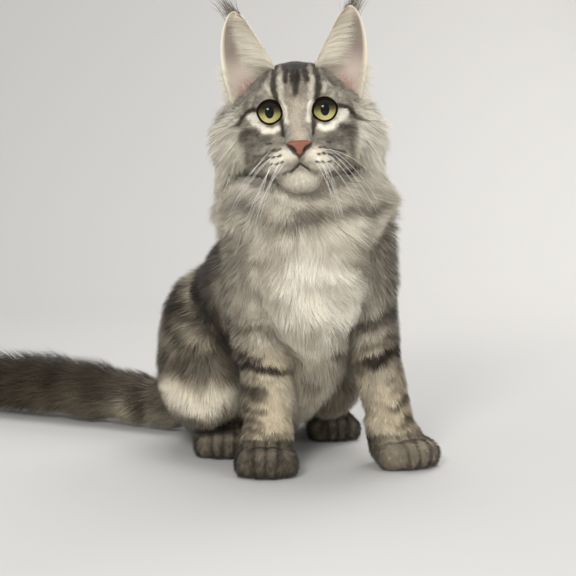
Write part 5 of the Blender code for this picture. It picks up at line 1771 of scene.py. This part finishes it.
@dataclass
class Eyes:
    """The two eyeballs and the dark rims of their lids."""

    stand: Stand
    segments: int = 64
    rings: int = 48
    cornea_edge: float = 0.62
    cornea_rise: float = 0.0006
    rim_points: int = 64
    rim_sides: int = 10
    rim_thickness: float = 0.00100
    rim_height: float = 0.55
    rim_lift: float = 0.0003
    # How much thicker the dark rim is at the top: partly the upper lid, partly its painted shadow.
    upper_lid_and_shade: float = 0.7
    rim_finish: PlainFinish = PlainFinish(
        "lid_rim", (0.005, 0.003, 0.002), (0.010, 0.006, 0.004), 0.7, specular=0.03)

    def build(self) -> None:
        """Builds both eyes."""
        wet = EyeFinish().material()
        rim = self.rim_finish.material()
        for side in Side:
            label = side.name.lower()
            self.stand.place(self._ball(f"eyeball_{label}", side, wet), "eye", f"eye_{label}")
            self.stand.place(self._rim(f"lid_rim_{label}", side, rim), "nose_leather")

    def _ball(self, name: str, side: Side, finish: Material) -> Object:
        """An eyeball with its cornea, whose points hold where they are in the eye's own frame."""
        bm = bmesh.new()
        bmesh.ops.create_uvsphere(bm, u_segments=self.segments, v_segments=self.rings, radius=EYE_RADIUS)
        layer = bm.verts.layers.float_vector.new("gaze")
        for vert in bm.verts:
            vert[layer] = vert.co * 1000
            lift = max(0.0, vert.co.z / EYE_RADIUS - self.cornea_edge) / (1 - self.cornea_edge)
            vert.co.z += self.cornea_rise * lift * lift * (3 - 2 * lift)
        upright = Matrix.Rotation(-side.value * LID_TILT, 4, "Z")
        for vert in bm.verts:
            vert[layer] = upright.inverted() @ vert[layer]
        bmesh.ops.transform(bm, matrix=eye_frame(side), verts=bm.verts)
        mesh = mesh_of(name, bm)
        mesh.shade_smooth()
        mesh.materials.append(finish)
        return linked(name, mesh)

    def _rim(self, name: str, side: Side, finish: Material) -> Object:
        """The dark margin of the lids: a flattened ring that lies on the eyeball, thicker at the top for
        the upper lid and for its painted shadow.
        """
        angles = np.linspace(0, 2 * math.pi, self.rim_points, endpoint=False)
        corner = lid_corner(angles, side)
        x = LID_OPENING[0] * corner * np.cos(angles)
        y = LID_OPENING[1] * corner * np.sin(angles)
        thick = self.rim_thickness * (1.0 + self.upper_lid_and_shade * np.clip(np.sin(angles), 0, 1) ** 1.5)
        reach = np.minimum(np.hypot(x, y), EYE_RADIUS * 0.97)
        z = np.sqrt((EYE_RADIUS + self.rim_lift) ** 2 - reach**2)
        centre = np.stack([x, y, z], axis=1)
        outward = unit(centre)
        along = unit(np.roll(centre, -1, axis=0) - np.roll(centre, 1, axis=0))
        across = unit(np.cross(along, outward))
        turns = np.linspace(0, 2 * math.pi, self.rim_sides, endpoint=False)
        sideways = np.cos(turns)[None, :, None] * thick[:, None, None]
        upward = np.sin(turns)[None, :, None] * thick[:, None, None] * self.rim_height
        ring = across[:, None] * sideways + outward[:, None] * upward
        points = (centre[:, None] + ring).reshape(-1, 3)
        triangles = tube_triangles(self.rim_points, self.rim_sides, True)
        return mesh_object(name, transformed(eye_frame(side), points), triangles, finish)


def tube_triangles(rows: int, sides: int, closed: bool) -> Array:
    """The triangles of a tube of rings, with its ends joined if it is closed.

    Args:
        rows: how many rings it has.
        sides: how many points each ring has.
        closed: whether the last ring joins the first.

    Returns:
        Three indices a row.
    """
    made = []
    for row in range(rows if closed else rows - 1):
        follow = (row + 1) % rows
        for side in range(sides):
            beside = (side + 1) % sides
            a, b = row * sides + side, row * sides + beside
            c, d = follow * sides + beside, follow * sides + side
            made += [(a, b, c), (a, c, d)]
    return np.array(made)


@dataclass
class Nose:
    """The bare leather at the tip of the nose, with its two nostrils."""

    stand: Stand
    balls: tuple = (
        Ball((0.0078, -0.0372, -0.0246), (0.0019, 0.0034, 0.0017)),
        Ball((0.0046, -0.0370, -0.0240), (0.0022, 0.0036, 0.0021)),
        Ball((0.0, -0.0378, -0.0318), (0.0016, 0.0034, 0.0026)),
    )
    segments: int = 24
    rings: int = 16
    voxel: float = 0.00035
    smoothing: int = 6
    nostril: tuple = ((0.0034, -0.0300), (0.0046, -0.0281), (0.0064, -0.0267), (0.0088, -0.0256))
    nostril_depth: float = 0.0022
    nostril_width: float = 0.0010
    # Where the painted shade of the nostrils fades out.
    nostril_shade_edge: tuple = (0.0008, 0.0017)
    groove_depth: float = 0.0005
    groove_width: float = 0.0006
    groove_top: tuple = (-0.0305, -0.0285)
    side_slope: tuple = (0.667, 0.745)
    side_edge: tuple = (-0.0018, -0.0004)
    side_top: tuple = (-0.0235, -0.0265)
    side_share: float = 0.9
    foot_level: float = -0.0345
    foot_edge: tuple = (-0.0315, -0.0338)
    foot_share: float = 0.85
    front: float = -0.0365
    finish: PlainFinish = PlainFinish(
        "nose_leather", (0.25, 0.090, 0.048), (0.18, 0.064, 0.034), 0.55, 0.10, 0.03, 0.55, 1600.0)
    # The colour of the painted nostril shade and of the darker sides and foot.
    dark: tuple = (0.012, 0.008, 0.007)

    def build(self) -> None:
        """Builds the leather."""
        places = []
        for ball in self.balls:
            for half in (ball.mirrored(), ball):
                size = Matrix.Translation(half.centre) @ Matrix.Diagonal((*half.radii, 1.0))
                places += ball_points(size, self.segments, self.rings)
        item = fused("nose_leather_tip", hull_of(places), self.voxel, self.smoothing)
        self._shape(item.data)
        item.data.materials.append(self.finish.shading(("dark", "Fac", self.dark)).material)
        self.stand.place(item, "nose_leather", "nose")

    def _shape(self, mesh: Mesh) -> None:
        """Presses in the nostrils and the groove between them, and stores how dark each point is: painted
        shade in the nostrils, and darker sides and foot.
        """
        points = mesh_points(mesh)
        flat = points[:, ::2]
        dark = np.zeros(len(points))
        push = np.zeros(len(points))
        # Painted shade in the nostrils' openings.
        for side in Side:
            route = np.array(self.nostril) * (side.value, 1.0)
            reach = path_distance(flat, route)
            push += self.nostril_depth * np.exp(-((reach / self.nostril_width) ** 2))
            dark = np.maximum(dark, 1 - smooth_step(*self.nostril_shade_edge, reach))
        middle, height = np.abs(points[:, 0]), points[:, 2]
        low = 1 - smooth_step(*self.groove_top, height)
        push += self.groove_depth * np.exp(-((middle / self.groove_width) ** 2)) * low
        below = middle * self.side_slope[0] - (height - self.foot_level) * self.side_slope[1]
        rim = smooth_step(*self.side_edge, below) * smooth_step(*self.side_top, height)
        foot = smooth_step(*self.foot_edge, height)
        dark = np.maximum(dark, np.maximum(self.side_share * rim, self.foot_share * foot))
        points[:, 1] += push * (points[:, 1] < self.front)
        world = transformed(HEAD_FRAME, points)
        mesh.vertices.foreach_set("co", world.ravel())
        layer = mesh.attributes.new("dark", "FLOAT", "POINT")
        layer.data.foreach_set("value", dark.astype(np.float32))
        mesh.shade_smooth()
        mesh.update()


# ---------------------------------------------------------------- ears and whiskers


@dataclass(frozen=True)
class EarHair:
    """One kind of hair on an ear: how many strands, how wide, how warm, how unlike, and how long."""

    count: int
    width: float
    warmth: float
    unlike: float
    lengths: tuple


@dataclass
class Ears:
    """The two tall ears: skin, short fur outside, long pale hair inside, and a tuft on each tip."""

    stand: Stand
    fur: Material
    base: tuple = (0.0338, 0.0260, 0.0210)
    tip: tuple = (0.0465, 0.0320, 0.0820)
    base_half: tuple = (0.0173, 0.0060, -0.0150)
    tip_half: tuple = (0.0235, 0.0010, 0.0)
    bulge: float = 0.003
    sunk: float = -0.16
    top: float = 0.995
    rows: int = 40
    columns: int = 26
    thickness: float = 0.0014
    cup_depth: float = 0.024
    facing: float = math.radians(18)
    behind: EarHair = EarHair(1900, 0.00075, 0.5, 0.03, (0.0040, 0.0060))
    edge: EarHair = EarHair(1000, 0.00034, 0.4, 0.04, (0.0014, 0.0030))
    cup: EarHair = EarHair(1700, 0.00013, 0.3, 0.02, (0.6, 1.1))
    foot: EarHair = EarHair(900, 0.00022, 0.3, 0.04, (0.005, 0.011))
    tuft: EarHair = EarHair(110, 0.00022, 0.6, 0.05, (0.012, 0.026))
    stations: int = 4
    finish: PlainFinish = PlainFinish(
        "ear_skin", (0.62, 0.53, 0.45), (0.55, 0.46, 0.38), 0.7, 0.0, 0.2, 0.25)
    layers: tuple = (
        # Blue: the upper outer cup, darker with painted shade and with darker fur.
        ("coat", "Blue", (0.27, 0.225, 0.185)),
        ("coat", "Green", (0.42, 0.22, 0.17)),
        ("coat", "Red", (0.78, 0.70, 0.55)),
        ("coat", "Alpha", (0.13, 0.11, 0.095)),
    )

    def build(self) -> None:
        """Builds both ears: pink skin, a cream rim, painted shade and darker fur up the cup, a darker
        hollow, a grey back.
        """
        skin = self.finish.shading(*self.layers).material
        for side in Side:
            label = side.name.lower()
            rng = default_rng(40 + side.value)
            self.stand.place(self._shell(f"ear_shell_{label}", side, skin), "ear_skin", f"ear_{label}")
            self.stand.place(self._hair(f"ear_hair_{label}", side, rng), "ear_skin")

    def place(self, side: Side, along: Array, across: Array, lift: Array | float = 0.0) -> Array:
        """Places on the sheet of an ear.

        Args:
            side: which ear.
            along: from 0 at the base to 1 at the tip.
            across: from 0 at the inner edge to 1 at the outer edge.
            lift: how far each place is in front of the sheet.

        Returns:
            The places, in the cat's own frame.
        """
        along = np.asarray(along, dtype=float)[:, None]
        across = np.asarray(across, dtype=float)[:, None]
        up = np.clip(along, 0.0, 1.0)
        base, tip = np.array(self.base), np.array(self.tip)
        middle = base + (tip - base) * along + np.array((self.bulge, 0, 0)) * np.sin(math.pi * up)
        half = np.array(self.base_half) * (1 - along) + np.array(self.tip_half) * along
        half = half * np.maximum(1 - up**1.5, 0) ** 0.65
        back = np.array((-math.sin(self.facing), math.cos(self.facing), 0.0))
        cup = self.cup_depth * (1 - 0.75 * up) * np.maximum(4 * across * (1 - across), 0) ** 0.8
        lift = np.asarray(lift, dtype=float).reshape(-1, 1)
        local = middle + half * (2 * across - 1) + back * (cup - lift)
        local[:, 0] *= side.value
        return transformed(HEAD_FRAME, local)

    def _shell(self, name: str, side: Side, finish: Material) -> Object:
        """The ear as a closed sheet, thin at its edges."""
        rows = np.linspace(self.sunk, self.top, self.rows)
        columns = np.linspace(0, 1, self.columns)
        along, across = [grid.ravel() for grid in np.meshgrid(rows, columns, indexing="ij")]
        edge = np.minimum(across, 1 - across) * 2
        half = self.thickness / 2 * (0.35 + 0.65 * smooth_step(0.0, 0.25, edge))
        front = self.place(side, along, across, half)
        back = self.place(side, along, across, -half)
        count = self.rows * self.columns
        grid = np.arange(count).reshape(self.rows, self.columns)
        a, b, c, d = grid[:-1, :-1], grid[:-1, 1:], grid[1:, 1:], grid[1:, :-1]
        quads = ((a, c, b), (a, d, c), (a + count, b + count, c + count), (a + count, c + count, d + count))
        faces = np.stack([np.stack(corners, axis=-1) for corners in quads], axis=2).reshape(-1, 3).tolist()
        loop = [*grid[0], *grid[1:, -1], *grid[-1, -2::-1], *grid[-2:0:-1, 0]]
        for first, second in zip(loop, loop[1:] + loop[:1]):
            faces += [(first, second, second + count), (first, second + count, first + count)]
        triangles = np.array(faces)
        if side is Side.RIGHT:
            triangles = triangles[:, ::-1]
        item = mesh_object(name, np.concatenate([front, back]), triangles, finish)
        rim = 1 - smooth_step(0.02, 0.16, np.minimum(edge, (1 - along) * 3))
        hollow = 1 - smooth_step(0.05, 0.24, np.hypot(along - 0.02, (across - 0.72) * 0.8))
        # The upper outer cup is darker: partly painted shade, partly darker fur.
        upper_shade_and_dark_fur = smooth_step(0.45, 0.80, across) * smooth_step(0.25, 0.55, along)
        upper_shade_and_dark_fur = upper_shade_and_dark_fur * (1 - smooth_step(0.80, 0.97, along))
        inner = stacked(count, rim, hollow, upper_shade_and_dark_fur, 0.0)
        outer = stacked(count, -1.0, 0.0, along, 1.0)
        paint(item.data, np.concatenate([inner, outer]))
        return item

    def _hair(self, name: str, side: Side, rng: Generator) -> Object:
        """All the hair of an ear in one piece."""
        groups = (self._outside, self._edge, self._inside, self._base, self._tip_tuft)
        joined = [np.concatenate(parts) for parts in zip(*[group(side, rng) for group in groups])]
        paths, ups, widths, shades, warmths = joined
        tufts = Tufts(paths, ups, widths, shades, warmths, paths[:, 0], ups[:, 0])
        return tufts.mesh(name, self.fur, rng)

    def _strands(
        self, side: Side, rng: Generator, kind: EarHair, start: Array, heading: Array,
        shade: Array | float, bend: Array | None = None, lengths: Array | None = None
    ) -> tuple:
        """Free strands that start along a heading and bend away from it.

        Args:
            side: which ear.
            rng: the source of their differences.
            kind: the kind of hair.
            start: the roots.
            heading: the way each starts, in the head's frame, mirrored on the right side.
            shade: their shade, before their differences.
            bend: the way each bends, in the same frame, if they bend.
            lengths: how long each is, if it isn't drawn here.

        Returns:
            The paths, the way the flat sides face, the widths, the shades and the warmths.
        """
        count = kind.count
        shade = shade + rng.normal(0, kind.unlike, count)
        lengths = rng.uniform(*kind.lengths, count) if lengths is None else lengths
        mirror = np.array((side.value, 1.0, 1.0))
        heading = turned(HEAD_FRAME, unit(heading) * mirror)
        bend = turned(HEAD_FRAME, (np.zeros((count, 3)) if bend is None else bend) * mirror)
        shares = np.linspace(0, 1, self.stations)[None, :, None]
        run = heading[:, None] * shares + bend[:, None] * shares**2
        paths = start[:, None] + run * lengths[:, None, None]
        facing = unit(np.array((0.0, -1.0, 0.15)) + rng.normal(0, 0.35, (count, 3)))
        ups = np.repeat(facing[:, None], self.stations, axis=1)
        widths = kind.width * rng.uniform(0.7, 1.3, count)
        return paths, ups, widths, shade, np.full(count, kind.warmth)

    def _outside(self, side: Side, rng: Generator) -> tuple:
        """Short grey fur on the back of the ear."""
        count = self.behind.count
        along = rng.uniform(self.sunk, 0.93, count)
        across = rng.uniform(0.06, 0.94, count)
        start = self.place(side, along, across, -self.thickness / 2)
        heading = self._upward(side, along, across) + rng.normal(0, 0.12, (count, 3)) + (0, 0.32, 0)
        made = self._strands(side, rng, self.behind, start, heading, 0.38 - 0.16 * along)
        paths, ups, widths, shades, warmths = made
        return paths, -ups, widths, shades, warmths

    def _upward(self, side: Side, along: Array, across: Array) -> Array:
        """The way up the ear at places on its sheet, in the head's frame, mirrored on the right side."""
        run = self.place(side, along + 0.02, across) - self.place(side, along, across)
        return unit(turned(HEAD_FRAME.inverted(), run)) * (side.value, 1, 1)

    def _edge(self, side: Side, rng: Generator) -> tuple:
        """The pale short hair that lies along both edges."""
        count = self.edge.count
        along = rng.uniform(0.0, 0.93, count)
        outer = rng.random(count) < 0.5
        across = np.where(outer, 0.975, 0.025)
        start = self.place(side, along, across)
        outward = stacked(count, np.where(outer, 0.30, -0.22), -0.10, 0.0)
        heading = self._upward(side, along, across) + outward + rng.normal(0, 0.12, (count, 3))
        return self._strands(side, rng, self.edge, start, heading, 0.80)

    def _inside(self, side: Side, rng: Generator) -> tuple:
        """Fine pale hair that sweeps in arcs from the inner edge out across the cup."""
        count = self.cup.count
        along = rng.uniform(-0.06, 0.86, count)
        across = np.abs(rng.normal(0.04, 0.20, count)) % 0.7
        start = self.place(side, along, across, self.thickness * 0.3)
        heading = stacked(
            count,
            0.62 + 0.25 * along + rng.normal(0, 0.12, count),
            -0.08 + rng.normal(0, 0.06, count),
            0.75 - 0.35 * along + rng.normal(0, 0.12, count),
        )
        lengths = (0.026 - 0.015 * along) * rng.uniform(*self.cup.lengths, count)
        bend = stacked(count, 0.30, 0.10, -0.45 + 0.35 * along)
        shade = 0.82 - 0.12 * smooth_step(0.35, 0.8, along)
        return self._strands(side, rng, self.cup, start, heading, shade, bend, lengths)

    def _base(self, side: Side, rng: Generator) -> tuple:
        """Soft pale hair at the foot of the cup, and a fan of it down its outer edge."""
        count = self.foot.count
        fan = rng.random(count) < 0.6
        along = np.where(fan, rng.uniform(-0.14, 0.34, count), rng.uniform(-0.12, 0.16, count))
        across = np.where(fan, rng.normal(0.95, 0.04, count), rng.normal(0.55, 0.28, count))
        start = self.place(side, along, np.clip(across, 0.05, 1.0), self.thickness * 0.3)
        heading = stacked(
            count,
            np.where(fan, 0.30, 0.15) + rng.normal(0, 0.18, count),
            -0.30 + rng.normal(0, 0.12, count),
            np.where(fan, 2.4 * along - 0.50, 0.85) + rng.normal(0, 0.18, count),
        )
        bend = stacked(count, rng.normal(0.25, 0.2, count), 0.05, rng.normal(-0.3, 0.2, count))
        return self._strands(side, rng, self.foot, start, heading, 0.74, bend)

    def _tip_tuft(self, side: Side, rng: Generator) -> tuple:
        """The brown wisps that stand up and out from behind the tip."""
        count = self.tuft.count
        along = rng.uniform(0.80, 0.94, count)
        across = rng.uniform(0.30, 0.95, count)
        start = self.place(side, along, across, -self.thickness / 2)
        heading = stacked(count, 0.30 + rng.normal(0, 0.15, count), 0.20 + rng.normal(0, 0.06, count), 0.95)
        bend = np.array((0.25, 0.03, -0.05)) * rng.uniform(0.3, 1.4, (count, 1))
        return self._strands(side, rng, self.tuft, start, heading, 0.30, bend)


@dataclass
class Whiskers:
    """The white whiskers of the muzzle."""

    stand: Stand
    skin: Skin
    sides: int = 5
    stations: int = 12
    radius: float = 0.00011
    tip_radius: float = 0.00003
    rows: tuple = ((-0.0300, 3, 0.0145), (-0.0350, 4, 0.0135), (-0.0400, 3, 0.0125))
    step: float = 0.0044
    lengths: tuple = (0.034, 0.062)
    droop: tuple = (0.0, 0.42, -0.46)
    finish: PlainFinish = PlainFinish(
        "whisker", (0.86, 0.84, 0.78), (0.80, 0.77, 0.70), 0.35, 0.1, 0.0, 0.0)

    def build(self) -> None:
        """Builds all the whiskers as one piece."""
        rng = default_rng(17)
        plans = [plan for side in Side for plan in self._plan(side, rng)]
        points = np.concatenate([self._tube(*self._path(*plan)) for plan in plans])
        one = tube_triangles(self.stations, self.sides, False)
        starts = np.arange(len(plans))[:, None, None] * self.stations * self.sides
        item = mesh_object("whiskers", points, (one[None] + starts).reshape(-1, 3), self.finish.material())
        self.stand.place(item, "pale_coat")

    def _plan(self, side: Side, rng: Generator) -> list[tuple]:
        """The root, heading and length of each whisker on one side."""
        plans = []
        for height, count, start in self.rows:
            for index in range(count):
                x = side.value * (start + index * self.step)
                fall = -0.35 - 0.45 * (-0.028 - height) / 0.012 + rng.normal(0, 0.22)
                heading = Vector((side.value * (0.42 + 0.14 * index + rng.normal(0, 0.12)), -0.42, fall))
                plans.append((Vector((x, 0, height)), heading, rng.uniform(*self.lengths)))
        return plans

    def _path(self, root: Vector, heading: Vector, length: float) -> tuple[Array, Array]:
        """A whisker's path from the skin, drooping a little, and its radius along it."""
        start = HEAD_FRAME @ Vector((root.x, -0.15, root.z))
        ahead = HEAD_FRAME.to_3x3() @ Vector((0, 1, 0))
        place, _, _, _ = self.skin.tree.ray_cast(start, ahead)
        shares = np.linspace(0, 1, self.stations)
        run = np.array(HEAD_FRAME.to_3x3() @ heading.normalized()) * length
        drop = np.array(self.droop) * length
        path = np.array(place) + run[None] * shares[:, None] + drop[None] * (shares**2)[:, None]
        return path, self.radius * (1 - shares) ** 0.7 + self.tip_radius

    def _tube(self, path: Array, radii: Array) -> Array:
        """The points of a round tube along a path."""
        along = unit(np.gradient(path, axis=0))
        across = unit(np.cross(along, np.array((0.0, 0.0, 1.0))))
        up = np.cross(across, along)
        turns = np.linspace(0, 2 * math.pi, self.sides, endpoint=False)
        ring = across[:, None] * np.cos(turns)[None, :, None] + up[:, None] * np.sin(turns)[None, :, None]
        return (path[:, None] + ring * radii[:, None, None]).reshape(-1, 3)


# ---------------------------------------------------------------- studio


@dataclass(frozen=True)
class Lamp:
    """A soft round light: its name, place, size, power, and whether it shows in the eyes."""

    name: str
    place: tuple
    size: float
    power: float
    glint: bool = False


@dataclass
class Studio:
    """A plain pale floor that sweeps up behind the cat, soft lights, and the camera."""

    step: Vector
    lamps: tuple = (
        Lamp("key", (-0.45, -1.50, 1.05), 0.45, 18.0, True),
        Lamp("fill", (1.15, -1.10, 0.55), 1.40, 10.0),
        Lamp("front", (-0.20, -1.70, 0.15), 1.00, 9.0),
        Lamp("top", (0.00, 0.50, 1.75), 1.30, 15.0),
        Lamp("rim", (0.70, 1.30, 0.95), 0.90, 9.0),
    )
    aim: tuple = (-0.02, 0.06, 0.18)
    sky: tuple = (0.93, 0.95, 1.0)
    sky_strength: float = 0.46
    floor_colour: tuple = (0.56, 0.545, 0.52)
    floor_half: float = 3.5
    floor_front: float = -2.5
    floor_back: float = 0.9
    curve_radius: float = 0.6
    curve_steps: int = 12
    wall_top: float = 3.0
    camera_place: tuple = (-0.0176, -1.300, 0.296)
    camera_tilt: float = math.radians(90 - 6.3)
    lens: float = 103.4

    def build(self) -> None:
        """Sets the studio up."""
        self._sweep()
        for lamp in self.lamps:
            self._light(lamp)
        world = bpy.data.worlds.new("studio")
        world.use_nodes = True
        inputs = world.node_tree.nodes["Background"].inputs
        inputs["Color"].default_value = (*self.sky, 1.0)
        inputs["Strength"].default_value = self.sky_strength
        bpy.context.scene.world = world
        bpy.context.scene.view_settings.view_transform = "Standard"
        self._camera()

    def _sweep(self) -> None:
        """The floor and the backdrop in one curved sheet."""
        radius = self.curve_radius
        rows = [(self.floor_front, 0.0), (self.floor_back, 0.0)]
        for turn in range(1, self.curve_steps + 1):
            angle = math.pi / 2 * turn / self.curve_steps
            rows.append((self.floor_back + radius * math.sin(angle), radius * (1 - math.cos(angle))))
        rows.append((self.floor_back + radius, self.wall_top))
        bm = bmesh.new()
        lines = [[bm.verts.new((side * self.floor_half, y, z)) for side in (-1, 1)] for y, z in rows]
        for low, high in zip(lines, lines[1:]):
            bm.faces.new((low[0], low[1], high[1], high[0]))
        mesh = mesh_of("studio_sweep", bm)
        mesh.shade_smooth()
        finish = PlainFinish("studio_paper", self.floor_colour, self.floor_colour, 0.85, 0, 0, 0.03, 90.0)
        mesh.materials.append(finish.material())
        linked("studio_sweep", mesh)

    def _light(self, lamp: Lamp) -> None:
        """Sets up one light, turned to the cat."""
        data = bpy.data.lights.new(lamp.name, "AREA")
        data.shape = "DISK"
        data.size = lamp.size
        data.energy = lamp.power
        item = linked(lamp.name, data)
        item.location = Vector(lamp.place) + self.step
        item.visible_glossy = lamp.glint
        aim = Vector(self.aim) + self.step - item.location
        item.rotation_euler = aim.to_track_quat("-Z", "Y").to_euler()

    def _camera(self) -> None:
        """The camera, level with the cat's brow and looking a little down."""
        data = bpy.data.cameras.new("camera")
        data.lens = self.lens
        data.sensor_width = 36.0
        item = linked("camera", data)
        item.location = Vector(self.camera_place) + self.step
        item.rotation_euler = (self.camera_tilt, 0.0, 0.0)
        bpy.context.scene.camera = item


SKIN_SHADE = 0.92
FLESH_NODES = (
    "head", "neck", "chest", "rump", "foreleg_left", "foreleg_right", "forepaw_left", "forepaw_right",
    "haunch_left", "haunch_right", "hindpaw_left", "hindpaw_right", "tail_base", "tail_middle", "tail_tip",
)


def dress_skin(skin: Skin, field_: CoatField, markings: Markings, stand: Stand) -> None:
    """Gives the skin the markings of the coat and its place."""
    weights = field_.weights(skin.points)
    shade, warmth = markings.at(skin.points, skin.normals, weights)
    paint(skin.object.data, stacked(len(shade), shade * SKIN_SHADE, warmth, 0.0, 0.5))
    finish = FurFinish("skin_fur", roughness=0.75, sheen=0.2, variation=0.1, bump=0.7)
    skin.object.data.materials.append(finish.material())
    stand.place(skin.object, "face_coat", *FLESH_NODES)


def main() -> None:
    """Builds the cat and its studio."""
    stand = Stand()
    skin = Skin()
    field_ = CoatField()
    markings = Markings(field_)
    coat = Coat(skin, field_, markings, stand)
    coat.grow()
    Eyes(stand).build()
    Nose(stand).build()
    Ears(stand, coat.finish).build()
    Whiskers(stand, skin).build()
    dress_skin(skin, field_, markings, stand)
    Studio(stand.step).build()


if __name__ == "__main__":
    main()
